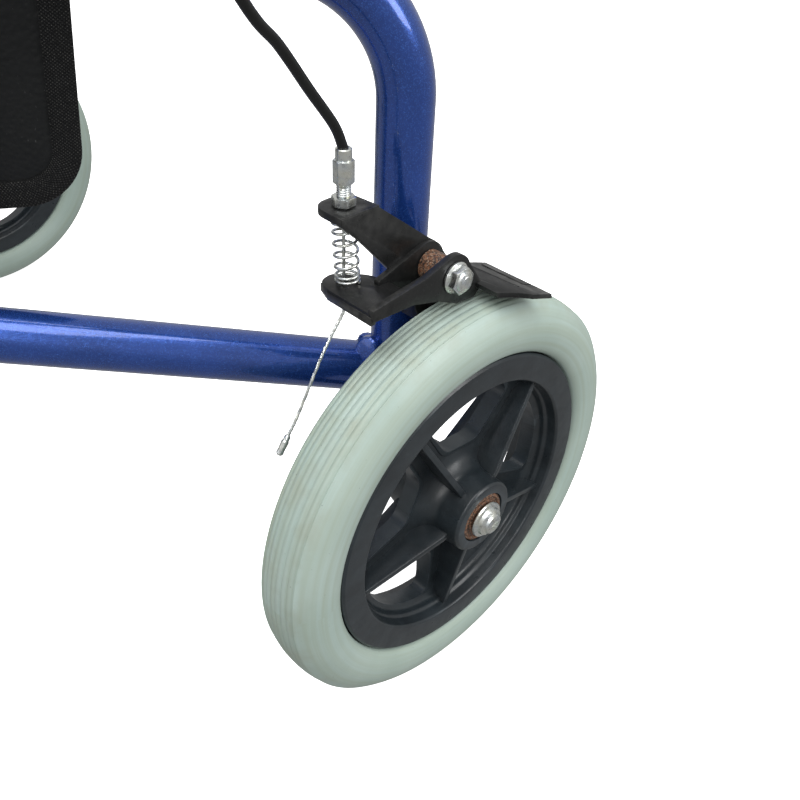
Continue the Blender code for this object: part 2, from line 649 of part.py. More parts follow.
for tag, side in SIDE_SIGNS:
    fold = "fold_" + tag
    bend = []
    for k in range(7):
        a = BEND_ANGLE * k / 6
        bend.append(on_frame(BEND_R * (1 - math.cos(a)), BEND_START_Z + BEND_R * math.sin(a)))
    rail = tube("rear_rail", [on_frame(0, UPRIGHT_LOW)] + bend + [MEET], TUBE_R, WALL_R)
    sleeve_tool = rod("coper", MEET, SLEEVE_DIR, SLEEVE_R + GAP, -0.06, 0.06, 16)
    cut(rail, sleeve_tool)
    cut(rail, rod("axle_hole", (TRACK_HALF - UPRIGHT_IN, 0, WHEEL_R), "X", BOLT_R + GAP, -0.02, 0.02, 12))
    settle(rail, "rear_rail_" + tag, "frame_paint", fold, side)

    post_end = on_frame(POST_S, rail_z(POST_S))
    upper = tube("upper_bar", [MEET, post_end], TUBE_R, WALL_R)
    post_tool = rod("coper", (POST_X, POST_Y, 0), "Z", TUBE_R + GAP, 0.1, 0.5, SIDES)
    cut(upper, rod("coper", MEET, SLEEVE_DIR, SLEEVE_R + GAP, -0.06, 0.06, 16), post_tool)
    settle(upper, "upper_bar_" + tag, "frame_paint", fold, side)

    lower = tube("lower_bar", bar_path(), TUBE_R, WALL_R)
    cut(lower, upright_cutter(TUBE_R + GAP))
    cut(lower, rod("coper", (POST_X, POST_Y, 0), "Z", TUBE_R + GAP, 0.1, 0.5, SIDES))
    ear_z = LINK_LOW - GAP
    ear = rod("ear", (LINK_AT.x, LINK_AT.y, 0), "Z", 0.0065, bar_z(POST_S - LINK_ARM) + 0.006, ear_z, 12)
    pin = rod("pin", (LINK_AT.x, LINK_AT.y, 0), "Z", 0.0028, ear_z - 0.003, LINK_TOP + 0.003, 12)
    unite(lower, ear, pin)
    settle(lower, "lower_bar_" + tag, "frame_paint", fold, side)

    post = turned("post", [(0.00415, PLATE_TOP + 0.0006), (TUBE_R, PLATE_TOP + 0.0006),
                           (TUBE_R, POST_TOP_Z), (0.00415, POST_TOP_Z), (0.00415, POST_TOP_Z - 0.012),
                           (WALL_R, POST_TOP_Z - 0.012), (WALL_R, PLATE_TOP + 0.0126),
                           (0.00415, PLATE_TOP + 0.0126)], (POST_X, POST_Y, 0), "Z", SIDES)
    settle(post, "hinge_post_" + tag, "frame_paint", fold, side)

    low_point = on_frame(BAR_KINK_S, BAR_KINK_Z)
    high_point = on_frame(sleeve_s(SLEEVE_TOP_Z), SLEEVE_TOP_Z)
    sleeve = tube("sleeve", [low_point, high_point], SLEEVE_R, SLEEVE_BORE, 6)
    saddle = wire("saddle", bar_path(0.02, 0.02), TUBE_R + GAP, 4)
    cut(sleeve, saddle)
    cut(sleeve, rod("stud_hole", KNOB_AT, OUTWARD, 0.0033, 0.005, 0.03, 12))
    settle(sleeve, "handle_sleeve_" + tag, "frame_paint", fold, side)

    profile = [(0, TUBE_R + 0.0006), (0.0029, TUBE_R + 0.0006), (0.0029, 0.0150), (0.0080, 0.0150),
               (0.0150, 0.0190), (0.0165, 0.0250), (0.0150, 0.0310), (0.0100, 0.0330), (0, 0.0330)]
    knob = turned("knob", profile, KNOB_AT, OUTWARD, 12)
    settle(knob, "height_knob_" + tag, "black_plastic", "knob_" + tag, side)

# ---------------------------------------------------------------- handles
for tag, side in SIDE_SIGNS:
    low_point = on_frame(sleeve_s(HANDLE_LOW_Z), HANDLE_LOW_Z)
    corner = on_frame(sleeve_s(GRIP_Z), GRIP_Z)
    end = Vector((corner.x, GRIP_END_Y - 0.004, GRIP_Z))
    handle = tube("handle", corner_path(low_point, corner, end, HANDLE_BEND_R, 6), TUBE_R, TUBE_R - TUBE_WALL, 6)
    settle(handle, "handle_tube_" + tag, "chrome", "height_" + tag, side)

    inner = TUBE_R + GAP
    grip_start = 0.021
    waves = 4
    outline = [(inner, GRIP_END_Y - 0.0035), (0, GRIP_END_Y - 0.0035), (0, GRIP_END_Y),
               (GRIP_R - 0.003, GRIP_END_Y), (GRIP_R, GRIP_END_Y - 0.004)]
    span = GRIP_END_Y - 0.010 - grip_start - 0.006
    for k in range(waves):
        outline.append((GRIP_R - 0.0018, GRIP_END_Y - 0.010 - span * (k + 0.5) / waves))
        outline.append((GRIP_R, GRIP_END_Y - 0.010 - span * (k + 1) / waves))
    outline += [(GRIP_R + 0.0015, grip_start + 0.004), (GRIP_R + 0.0015, grip_start), (inner, grip_start)]
    grip = turned("grip", outline, (GRIP_X, 0, GRIP_Z), "Y", 16)
    settle(grip, "grip_" + tag, "grip_rubber", "height_" + tag, side)

    ring = washer("mount", (GRIP_X, 0, GRIP_Z), "Y", TUBE_R + 0.0040, TUBE_R + GAP, 0.000, 0.018, 16)
    body = slab("perch", [(0.0005, GRIP_Z - TUBE_R - 0.0015), (0.0175, GRIP_Z - TUBE_R - 0.0015),
                          (0.0175, GRIP_Z - 0.028), (0.0145, GRIP_Z - 0.030), (0.0035, GRIP_Z - 0.030),
                          (0.0005, GRIP_Z - 0.028)],
                GRIP_X - 0.008, GRIP_X + 0.008, "YZ")
    unite(ring, body)
    nose = rod("nose", NOSE_AT, "Y", 0.0045, 0.0, 0.020, 8)
    unite(ring, nose)
    cut(ring, slab("slot", [(-0.001, GRIP_Z - 0.0170), (0.020, GRIP_Z - 0.0170),
                            (0.020, GRIP_Z - 0.032), (-0.001, GRIP_Z - 0.032)],
                   GRIP_X - 0.0042, GRIP_X + 0.0042, "YZ"))
    cut(ring, rod("cable_hole", NOSE_AT, "Y", HOUSING_R + 0.0004, -0.002, 0.008, 8))
    pin = turned("pin", [(0, -0.0100), (0.0035, -0.0100), (0.0035, -0.0083), (0.0021, -0.0083),
                         (0.0021, 0.0083), (0.0035, 0.0083), (0.0035, 0.0100), (0, 0.0100)],
                 LEVER_AT, "X", 12)
    unite(ring, pin)
    settle(ring, "lever_mount_" + tag, "black_plastic", "height_" + tag, side)

    y0, z0 = LEVER_AT.y, LEVER_AT.z
    blade = slab("blade", [(y0 - 0.004, z0 - 0.0035), (y0 + 0.004, z0 - 0.0045), (y0 + 0.030, z0 - 0.016),
                           (y0 + 0.070, z0 - 0.021), (y0 + 0.098, z0 - 0.020), (y0 + 0.104, z0 - 0.015),
                           (y0 + 0.098, z0 - 0.0155), (y0 + 0.070, z0 - 0.0165), (y0 + 0.030, z0 - 0.0115),
                           (y0 + 0.009, z0 + 0.001), (y0 + 0.003, z0 + 0.004), (y0 - 0.003, z0 + 0.004)],
                 GRIP_X - 0.0038, GRIP_X + 0.0038, "YZ")
    cut(blade, rod("pin_hole", LEVER_AT, "X", 0.0024, -0.02, 0.02, 12))
    settle(blade, "hand_lever_" + tag, "black_paint", "lever_" + tag, side)


# ---------------------------------------------------------------- rear brakes
def brake_point(x, y, z):
    """From wheel centre coordinates of the left wheel to design coordinates."""
    return Vector((TRACK_HALF + x, y, BRAKE_Z + z))


TAIL = [(-0.0420, 0.1026), (-0.0480, 0.0945), (-0.0540, 0.0858), (-0.0656, 0.0654), (-0.0714, 0.0572)]

for tag, side in SIDE_SIGNS:
    fold = "fold_" + tag
    home = "brake_" + tag
    arc = []
    for k in range(5):
        angle = math.radians(-20 + 92 * k / 4)
        arc.append((PIVOT_Y + 0.009 * math.cos(angle), PIVOT_Z + 0.009 * math.sin(angle)))
    outline = ([(-0.0150, 0.1050), (-0.0080, 0.0860), (0.0080, 0.0860), (0.0080, 0.1050)] + arc
               + [(-0.0340, TAB_TOP), (-0.0505, TAB_TOP), (-0.0505, TAB_TOP - TAB_T), (-0.0415, 0.1335)])
    outline = [(y, z + BRAKE_Z) for y, z in outline]
    bracket = slab("bracket", outline, TRACK_HALF + BRACKET_X[0], TRACK_HALF + BRACKET_X[1], "YZ")
    tab = slab("tab", rounded([(TRACK_HALF - 0.0170, -0.0503), (TRACK_HALF - 0.0315, -0.0503),
                               (TRACK_HALF - 0.0315, -0.0342), (TRACK_HALF - 0.0170, -0.0342)], 0.003, 2),
               BRAKE_Z + TAB_TOP - TAB_T, BRAKE_Z + TAB_TOP)
    base = slab("base", [(-0.0078, BRAKE_Z + 0.0865), (0.0078, BRAKE_Z + 0.0865),
                         (0.0078, BRAKE_Z + 0.1050), (-0.0078, BRAKE_Z + 0.1050)],
                TRACK_HALF - 0.0270, TRACK_HALF - 0.0170, "YZ")
    unite(bracket, tab, base)
    cut(bracket, upright_cutter(TUBE_R + GAP),
        rod("hole", brake_point(0, PIVOT_Y, PIVOT_Z), "X", 0.0033, -0.03, 0.02, 12),
        rod("hole", brake_point(CABLE_X, CABLE_Y, 0), "Z", 0.0033, 0.12, 0.16, 12))
    settle(bracket, "brake_bracket_" + tag, "black_paint", fold, side)

    def ear(name, low, high):
        shape = [(-0.0540, 0.1105), (-0.0300, 0.1100), (-0.0170, 0.1060), (-0.0020, 0.1010),
                 (0.0070, 0.1030), (0.0085, 0.1060), (0.0020, PIVOT_Z + 0.0040), (-0.0050, PIVOT_Z + 0.0088),
                 (-0.0120, PIVOT_Z + 0.0086),
                                     (-0.0200, PIVOT_Z + 0.0045), (-0.0540, 0.1165)]
        return slab(name, [(y, z + BRAKE_Z) for y, z in shape], TRACK_HALF + low, TRACK_HALF + high, "YZ")

    lever = ear("lever", -0.0030, 0.0)
    inner_ear = slab("inner_ear", [(y, z + BRAKE_Z) for y, z in
                                   [(-0.0340, 0.1120), (-0.0170, 0.1060), (-0.0020, 0.1010),
                                    (0.0070, 0.1030), (0.0085, 0.1060), (0.0020, PIVOT_Z + 0.0040),
                                    (-0.0050, PIVOT_Z + 0.0088), (-0.0120, PIVOT_Z + 0.0086),
                                     (-0.0200, PIVOT_Z + 0.0045),
                                    (-0.0340, 0.1160)]],
                     TRACK_HALF - 0.0160, TRACK_HALF - 0.0137, "YZ")
    foot = slab("foot", [(TRACK_HALF - 0.0005, -0.0540), (TRACK_HALF - 0.0005, -0.0290),
                         (TRACK_HALF - 0.0140, -0.0290), (TRACK_HALF - 0.0230, -0.0310),
                         (TRACK_HALF - 0.0320, -0.0410), (TRACK_HALF - 0.0300, -0.0500),
                         (TRACK_HALF - 0.0240, -0.0520)],
                BRAKE_Z + FOOT_Z, BRAKE_Z + FOOT_Z + FOOT_T)
    lip = slab("lip", [(TRACK_HALF - 0.0005, -0.0540), (TRACK_HALF - 0.0005, -0.0515),
                       (TRACK_HALF - 0.0240, -0.0495), (TRACK_HALF - 0.0240, -0.0520)],
               BRAKE_Z + FOOT_Z - 0.004, BRAKE_Z + FOOT_Z + 0.001)
    shoe = slab("shoe", [(y, z + BRAKE_Z) for y, z in
                         [(0.0050, 0.1042), (0.0190, 0.1016), (0.0300, 0.0987), (0.0315, 0.1008),
                          (0.0190, 0.1040), (0.0050, 0.1068)]],
                TRACK_HALF - 0.0155, TRACK_HALF + 0.0190, "YZ")
    unite(lever, inner_ear, foot, lip, shoe)
    cut(lever,
        rod("hole", brake_point(0, PIVOT_Y, PIVOT_Z), "X", 0.0033, -0.03, 0.02, 12),
        rod("hole", brake_point(CABLE_X, CABLE_Y, 0), "Z", 0.0022, 0.09, 0.13, 12))
    settle(lever, "brake_lever_" + tag, "black_paint", home, side)

    pin = turned("pivot_bolt", [(0, -0.0240), (0.0050, -0.0240), (0.0052, -0.0204), (0.0030, -0.0204),
                                (0.0030, 0.0060), (0, 0.0060)], brake_point(0, PIVOT_Y, PIVOT_Z), "X", 12)
    spacer = rod("spacer", brake_point(0, PIVOT_Y, PIVOT_Z), "X", 0.0058, -0.0132, -0.0033)
    disc = rod("disc", brake_point(0, PIVOT_Y, PIVOT_Z), "X", 0.0062, 0.0003, 0.0014)
    nut = rod("nut", brake_point(0, PIVOT_Y, PIVOT_Z), "X", 0.0058, 0.0012, 0.0052, 6)
    unite(pin, spacer, disc, nut)
    settle(pin, "brake_pivot_bolt_" + tag, "zinc", fold, side)

    axis = brake_point(CABLE_X, CABLE_Y, 0)
    bore = 0.0012
    adjuster = turned("adjuster", [(bore, 0.1385), (0.0030, 0.1385), (0.0030, 0.1530), (0.0040, 0.1535),
                                   (0.0040, 0.1612), (0.0033, 0.1620), (0.0033, 0.1650), (bore, 0.1650)],
                      axis, "Z", 12)
    locknut = washer("locknut", axis, "Z", 0.0058, 0.0024, TAB_TOP + GAP, TAB_TOP + 0.0038, 6)
    unite(adjuster, locknut)
    settle(adjuster, "cable_adjuster_" + tag, "zinc", fold, side)

    coil_r = 0.0050
    wire_r = 0.0006
    bottom = FOOT_Z + FOOT_T + GAP + wire_r
    top = TAB_TOP - TAB_T - GAP - wire_r
    points = []
    per_turn = 8
    close = 1.5
    for k in range(SPRING_TURNS * per_turn + 1):
        turn_at = k / per_turn
        if turn_at <= close:
            height = bottom + turn_at * wire_r * 2.3
        else:
            low_end = bottom + close * wire_r * 2.3
            height = low_end + (top - low_end) * (turn_at - close) / (SPRING_TURNS - close)
        angle = 2 * math.pi * turn_at
        points.append(axis + Vector((coil_r * math.cos(angle), coil_r * math.sin(angle), height)))
    spring = wire("spring", points, wire_r, 1)
    settle(spring, "brake_spring_" + tag, "zinc", fold, side)

    route = [brake_point(CABLE_X, CABLE_Y, 0.1645), brake_point(CABLE_X, CABLE_Y, 0.1450),
             brake_point(CABLE_X, CABLE_Y, 0.1200)]
    route += [brake_point(CABLE_X, y, z) for y, z in TAIL]
    strand = wire("strand", route, 0.0008, 1)
    crimp_a = brake_point(CABLE_X, *TAIL[-1])
    crimp_dir = (crimp_a - brake_point(CABLE_X, *TAIL[-2])).normalized()
    crimp = rod("crimp", crimp_a, crimp_dir, 0.0013, -0.0010, 0.0075, 8)
    stop = rod("stop", axis, "Z", 0.0030, FOOT_Z - 0.0062, FOOT_Z - 0.0022, 8)
    unite(strand, crimp, stop)
    settle(strand, "brake_wire_" + tag, "zinc", home, side)

    housing_route = [brake_point(CABLE_X, CABLE_Y, 0.1680), brake_point(CABLE_X, -0.0455, 0.1740),
                     brake_point(CABLE_X, -0.0560, 0.1870), brake_point(CABLE_X, -0.0670, 0.2020),
                     brake_point(CABLE_X, -0.0790, 0.2160), brake_point(CABLE_X - 0.001, -0.1050, 0.2600),
                     brake_point(CABLE_X - 0.006, -0.1250, 0.3400),
                     brake_point(CABLE_X - 0.014, -0.1220, 0.4600),
                     brake_point(CABLE_X - 0.023, -0.1020, 0.5800),
                     Vector((NOSE_AT.x + 0.001, -0.0820, GRIP_Z - 0.110)),
                     Vector((NOSE_AT.x + 0.001, -0.0600, GRIP_Z - 0.045)),
                     Vector((NOSE_AT.x, -0.0350, GRIP_Z - 0.012)), NOSE_AT - Vector((0, 0.006, 0))]
    route = [brake_point(CABLE_X, CABLE_Y, 0.1654)] + smooth_path(housing_route, 2)
    route.append(NOSE_AT + Vector((0, 0.0070, 0)))
    housing = wire("housing", route, HOUSING_R, 1)
    settle(housing, "cable_housing_" + tag, "cable_black", fold, side)

# ---------------------------------------------------------------- bag

def bag_ring(bm, z, inset):
    """One level of the pouch: a trapezium in plan with rounded corners."""
    depth = BAG_BACK_Y - BAG_FRONT_Y
    outline = [(-BAG_BACK_X, BAG_BACK_Y), (-BAG_FRONT_X, BAG_FRONT_Y),
               (BAG_FRONT_X, BAG_FRONT_Y), (BAG_BACK_X, BAG_BACK_Y)]
    middle_y = BAG_BACK_Y - depth * 0.42
    shrink = 1.0 - inset / (BAG_BACK_X * 0.55)
    ring = []
    for x, y in rounded(outline, 0.020, 3):
        ring.append(bm.verts.new((x * shrink, middle_y + (y - middle_y) * shrink, z)))
    return ring


def bag_body():
    """Open-topped pouch: a lofted skin given its wall by Solidify."""
    bm = bmesh.new()
    levels = [(BAG_BOTTOM, 0.014), (BAG_BOTTOM + 0.006, 0.004), (BAG_BOTTOM + 0.020, 0.0), (BAG_TOP, 0.0)]
    rings = [bag_ring(bm, z, inset) for z, inset in levels]
    for low, high in zip(rings, rings[1:]):
        edges = []
        for ring in (low, high):
            for k in range(len(ring)):
                pair = (ring[k], ring[(k + 1) % len(ring)])
                edges.append(bm.edges.get(pair) or bm.edges.new(pair))
        bmesh.ops.bridge_loops(bm, edges=edges)
    bm.faces.new(rings[0])
    bmesh.ops.recalc_face_normals(bm, faces=bm.faces)
    obj = mesh_object("bag", bm)
    wall = obj.modifiers.new("wall", "SOLIDIFY")
    wall.thickness = BAG_WALL
    wall.offset = -1
    bpy.context.view_layer.update()
    return apply_modifiers(obj)


def strap(s, low_z, side):
    """Flat strip from a top corner of the pouch to just short of the upper rail."""
    rail = on_frame(s, low_z, -TUBE_R - 0.0014)
    share = 0.15 if s < 0.15 else 0.75
    wall_x = BAG_BACK_X + (BAG_FRONT_X - BAG_BACK_X) * share
    wall_y = BAG_BACK_Y + (BAG_FRONT_Y - BAG_BACK_Y) * share
    mouth = Vector((wall_x - BAG_WALL * 0.6, wall_y + BAG_WALL * 0.3, BAG_TOP - 0.012))
    run = rail - mouth
    bm = bmesh.new()
    bmesh.ops.create_cube(bm, size=1.0)
    obj = mesh_object("strap", bm)
    ahead = run.normalized()
    across = ahead.cross(Vector((0, 0, 1))).normalized()
    turn = Matrix((ahead, across, ahead.cross(across))).transposed().to_4x4()
    size = Matrix.Diagonal((run.length, 0.0016, 0.018, 1))
    obj.data.transform(Matrix.Translation((mouth + rail) / 2) @ turn @ size)
    if side < 0:
        obj.data.transform(Matrix.Scale(-1, 4, (1, 0, 0)))
        obj.data.flip_normals()
    return obj


pouch = bag_body()
for _, side in SIDE_SIGNS:
    unite(pouch, strap(0.080, rail_z(0.080) - 0.002, side), strap(0.250, rail_z(0.250) - 0.004, side))
settle(pouch, "bag", "bag_vinyl", "rollator_root")
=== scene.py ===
"""Looks of a folding three-wheel walking frame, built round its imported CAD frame.

Row frame: metres, +Z up, +X the walker's left, -Y the castor end. Shapes are drawn for the
left side with y = 0 at the rear axle ("axle coordinates") and mirrored for the right side.
"""
import math

import bmesh
import bpy
from mathutils import Matrix, Vector, noise


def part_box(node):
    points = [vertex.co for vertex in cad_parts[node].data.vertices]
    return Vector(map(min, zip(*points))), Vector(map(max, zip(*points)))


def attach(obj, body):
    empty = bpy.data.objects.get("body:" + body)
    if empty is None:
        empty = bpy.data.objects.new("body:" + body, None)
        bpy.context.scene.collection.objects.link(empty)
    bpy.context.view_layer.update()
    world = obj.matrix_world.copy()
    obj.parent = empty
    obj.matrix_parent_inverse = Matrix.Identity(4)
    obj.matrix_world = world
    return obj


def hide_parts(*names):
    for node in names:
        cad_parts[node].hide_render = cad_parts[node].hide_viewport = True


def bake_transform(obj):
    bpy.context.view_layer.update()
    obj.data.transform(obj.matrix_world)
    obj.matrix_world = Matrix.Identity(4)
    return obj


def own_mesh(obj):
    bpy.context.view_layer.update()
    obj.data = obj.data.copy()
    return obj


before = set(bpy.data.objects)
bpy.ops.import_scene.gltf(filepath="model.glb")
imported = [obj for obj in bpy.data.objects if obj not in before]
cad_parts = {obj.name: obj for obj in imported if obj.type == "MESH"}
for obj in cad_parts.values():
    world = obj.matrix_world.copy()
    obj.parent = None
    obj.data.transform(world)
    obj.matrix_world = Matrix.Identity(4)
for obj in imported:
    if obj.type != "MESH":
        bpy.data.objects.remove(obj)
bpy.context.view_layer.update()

# ---------------------------------------------------------------- sizes read from the frame
tyre_low, tyre_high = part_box("rear_l_tyre")
AXLE = (tyre_low + tyre_high) / 2            # rear left wheel centre
SHIFT = AXLE.y                               # axle coordinates to row frame
WHEEL_R = AXLE.z
TRACK = AXLE.x
castor_low, castor_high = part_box("castor_tyre")
CASTOR = (castor_low + castor_high) / 2
column_low, column_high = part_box("front_column")
COLUMN_Y = (column_low.y + column_high.y) / 2 - SHIFT
post_low, post_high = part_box("hinge_post_l")
POST = (post_low + post_high) / 2
POST_X, POST_Y = POST.x, POST.y - SHIFT
slider_low, slider_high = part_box("fold_slider")
SLIDER_Y = (slider_low.y + slider_high.y) / 2 - SHIFT
grip_low, grip_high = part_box("grip_l")
GRIP = (grip_low + grip_high) / 2
GRIP_X, GRIP_Z = GRIP.x, GRIP.z
GRIP_END = grip_high.y - SHIFT
PLATE_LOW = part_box("head_plate_lower")[0].z
PLATE_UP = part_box("head_plate_upper")[0].z
UPRIGHT_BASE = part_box("rear_rail_l")[0].z
SLEEVE_TOP = 0.560
KNOB_Z = 0.538
SLEEVE_BORE = 0.0114
PLATE_T = 0.004                              # front hinge plates

# ---------------------------------------------------------------- sizes of the parts, in metres
TUBE_R = 0.011
WALL = 0.0015
UPRIGHT_X = 0.217
SPLAY = math.atan2(UPRIGHT_X - POST_X, -POST_Y)
POST_S = math.hypot(UPRIGHT_X - POST_X, POST_Y)
BAR_Z0, BAR_SLOPE, KINK_S, BAR_END_Z = 0.150, 0.206, 0.195, 0.238
KINK_Z = BAR_Z0 + BAR_SLOPE * KINK_S
BEND_Z, BEND_R, BEND_ANGLE = 0.2686, 0.0507, math.radians(75)
SLEEVE_R, SLEEVE_LEAN = 0.0126, math.radians(12)
HANDLE_LOW = 0.430
RING_IN, RING_OUT, RING_X = 0.0630, 0.0756, 0.0130
HUB_R, HUB_X = 0.0175, 0.0215
RIBS, RIB_PHASE = 5, math.radians(120.5)
COLUMN_R = 0.016
PIVOT_Y, PIVOT_Z = -0.0085, 0.115
CABLE_X, CABLE_Y = -0.024, -0.042
FOOT_Z, TAB_TOP = 0.1115, 0.145
HOUSING_R = 0.00275
COVER_R = 0.0018                             # brake cable cover
LINK_ARM = 0.120                             # hinge post to the link's eye, along the side frame
BAG_TOP, BAG_BOTTOM = 0.345, 0.214
BAG_BACK, BAG_FRONT = Vector((0.104, -0.078)), Vector((0.032, -0.206))
BAG_CORNER = 0.022
TAPE_W = 0.0115


# ---------------------------------------------------------------- materials
class Look:
    """A Principled material with short calls for its procedural nodes."""

    def __init__(self, name, colour, roughness, metallic=0.0, **sockets):
        self.mat = bpy.data.materials.new(name)
        self.mat.use_nodes = True
        self.tree = self.mat.node_tree
        self.shader = self.tree.nodes["Principled BSDF"]
        self.set("Base Color", colour)
        self.set("Roughness", roughness)
        self.set("Metallic", metallic)
        for key, value in sockets.items():
            self.set(key.replace("_", " ").title().replace("Ior", "IOR"), value)
        self.space = self.node("ShaderNodeTexCoord").outputs["Object"]
        self.bumped = None

    def set(self, key, value):
        self.plug(self.shader.inputs[key], value)

    def plug(self, socket, value):
        if isinstance(value, bpy.types.NodeSocket):
            self.tree.links.new(value, socket)
        elif isinstance(value, (tuple, list)) and len(value) == 3 and socket.type == "RGBA":
            socket.default_value = (*value, 1)
        else:
            socket.default_value = value

    def node(self, kind, props=None, **inputs):
        made = self.tree.nodes.new(kind)
        for key, value in (props or {}).items():
            setattr(made, key, value)
        for key, value in inputs.items():
            self.plug(made.inputs[key.replace("_", " ")], value)
        return made

    def stretched(self, scale, source=None):
        made = self.node("ShaderNodeMapping", Vector=source or self.space)
        made.inputs["Scale"].default_value = scale
        return made.outputs["Vector"]

    def noise(self, scale, detail=3.0, rough=0.55, vector=None):
        made = self.node("ShaderNodeTexNoise", Vector=vector or self.space, Scale=scale,
                         Detail=detail, Roughness=rough)
        return made.outputs["Fac"]

    def cells(self, scale, output="Distance", vector=None, **props):
        made = self.node("ShaderNodeTexVoronoi", props, Vector=vector or self.space, Scale=scale)
        return made.outputs[output]

    def math(self, operation, a, b=0.0):
        made = self.node("ShaderNodeMath", {"operation": operation})
        self.plug(made.inputs[0], a)
        self.plug(made.inputs[1], b)
        return made.outputs[0]

    def ramp(self, fac, low, high, a=0.0, b=1.0):
        made = self.node("ShaderNodeMapRange", {"clamp": True}, Value=fac)
        for key, value in (("From Min", low), ("From Max", high), ("To Min", a), ("To Max", b)):
            made.inputs[key].default_value = value
        return made.outputs["Result"]

    def mix(self, fac, a, b):
        made = self.node("ShaderNodeMix", {"data_type": "RGBA"})
        self.plug(made.inputs[0], fac)
        self.plug(made.inputs[6], a)
        self.plug(made.inputs[7], b)
        return made.outputs[2]

    def bump(self, height, depth, strength=1.0):
        made = self.node("ShaderNodeBump", Height=height, Strength=strength, Distance=depth)
        if self.bumped is not None:
            self.plug(made.inputs["Normal"], self.bumped)
        self.bumped = made.outputs["Normal"]
        self.set("Normal", self.bumped)


def blue_paint():
    """Metallic blue under clear lacquer: fine flakes, orange peel and a drifting tone."""
    look = Look("blue_paint", (0.012, 0.052, 0.27), 0.26, 0.60, coat_weight=0.8, coat_roughness=0.06)
    drift = look.mix(look.ramp(look.noise(60, 4), 0.3, 0.7), (0.010, 0.044, 0.225), (0.014, 0.060, 0.310))
    flake = look.ramp(look.node("ShaderNodeSeparateColor",
                                Color=look.cells(4200, "Color")).outputs["Red"], 0.80, 0.98)
    look.set("Base Color", look.mix(flake, drift, (0.045, 0.140, 0.52)))
    look.set("Roughness", look.ramp(look.noise(700, 2), 0.3, 0.7, 0.21, 0.29))
    look.bump(look.noise(420, 1), 0.0002, 0.25)
    return look.mat


def tyre_polymer():
    """Pale grey-green solid tyre: mould streaks round the tread, scuffs and specks."""
    look = Look("tyre_polymer", (0.36, 0.46, 0.37), 0.48, 0.0, specular_ior_level=0.45)
    split = look.node("ShaderNodeSeparateXYZ", Vector=look.space)
    across, y, z = split.outputs
    radius = look.math("SQRT", look.math("ADD", look.math("MULTIPLY", y, y), look.math("MULTIPLY", z, z)))
    turn = look.math("ARCTAN2", z, y)
    ringed = look.node("ShaderNodeCombineXYZ", X=look.math("MULTIPLY", across, 900.0),
                       Y=look.math("MULTIPLY", radius, 900.0), Z=look.math("MULTIPLY", turn, 1.3)).outputs[0]
    streak = look.ramp(look.noise(0.45, 4, 0.6, ringed), 0.35, 0.70)
    clouds = look.ramp(look.noise(34, 4), 0.32, 0.68)
    base = look.mix(clouds, (0.335, 0.425, 0.385), (0.390, 0.480, 0.440))
    base = look.mix(look.math("MULTIPLY", streak, 0.55), base, (0.300, 0.350, 0.265))
    tread = look.ramp(radius, 0.0925, 0.0985)
    grime = look.math("MULTIPLY", look.math("MULTIPLY", tread, look.ramp(look.noise(75, 5), 0.45, 0.75)),
                      0.5)
    base = look.mix(grime, base, (0.275, 0.290, 0.215))
    speck = look.ramp(look.noise(900, 2, 0.4), 0.745, 0.785)
    look.set("Base Color", look.mix(look.math("MULTIPLY", speck, 0.5), base, (0.12, 0.13, 0.11)))
    look.set("Roughness", look.ramp(streak, 0.0, 1.0, 0.40, 0.56))
    look.bump(look.noise(0.9, 3, 0.5, ringed), 0.0001, 0.35)
    look.bump(look.noise(900, 3), 0.00004, 0.4)
    return look.mat


def moulded(name, dark, light, rough, gloss=0.5):
    """Injection-moulded plastic: fine grain, faint flow marks, scuffed edges."""
    look = Look(name, dark, rough, 0.0, specular_ior_level=gloss)
    flow = look.ramp(look.noise(45, 4, 0.6, look.stretched((1.0, 1.0, 2.2))), 0.35, 0.68)
    dust = look.ramp(look.noise(480, 5, 0.7), 0.60, 0.74)
    base = look.mix(flow, dark, light)
    pale = tuple(c * 2.0 + 0.012 for c in light)
    edge = look.ramp(look.node("ShaderNodeNewGeometry").outputs["Pointiness"], 0.52, 0.60)
    worn = look.math("MAXIMUM", look.math("MULTIPLY", dust, 0.35), look.math("MULTIPLY", edge, 0.55))
    look.set("Base Color", look.mix(worn, base, pale))
    look.set("Roughness", look.ramp(look.noise(160, 4), 0.3, 0.7, rough - 0.07, rough + 0.09))
    look.bump(look.noise(1500, 2), 0.00003, 0.5)
    look.bump(look.noise(110, 3), 0.0002, 0.12)
    return look.mat


def plated(name, colour, tint, rough):
    """Zinc plate: cloudy passivation, grey speckle and fine scratches."""
    look = Look(name, colour, rough, 1.0)
    cloud = look.ramp(look.noise(230, 4), 0.35, 0.66)
    stain = look.ramp(look.noise(620, 5, 0.7), 0.52, 0.70)
    base = look.mix(cloud, colour, tint)
    look.set("Base Color", look.mix(look.math("MULTIPLY", stain, 0.6), base, tuple(c * 0.32 for c in tint)))
    look.set("Roughness", look.ramp(look.noise(420, 4), 0.3, 0.72, rough - 0.08, rough + 0.16))
    look.bump(look.noise(900, 4, 0.7, look.stretched((1, 1, 0.25))), 0.00006, 0.45)
    return look.mat


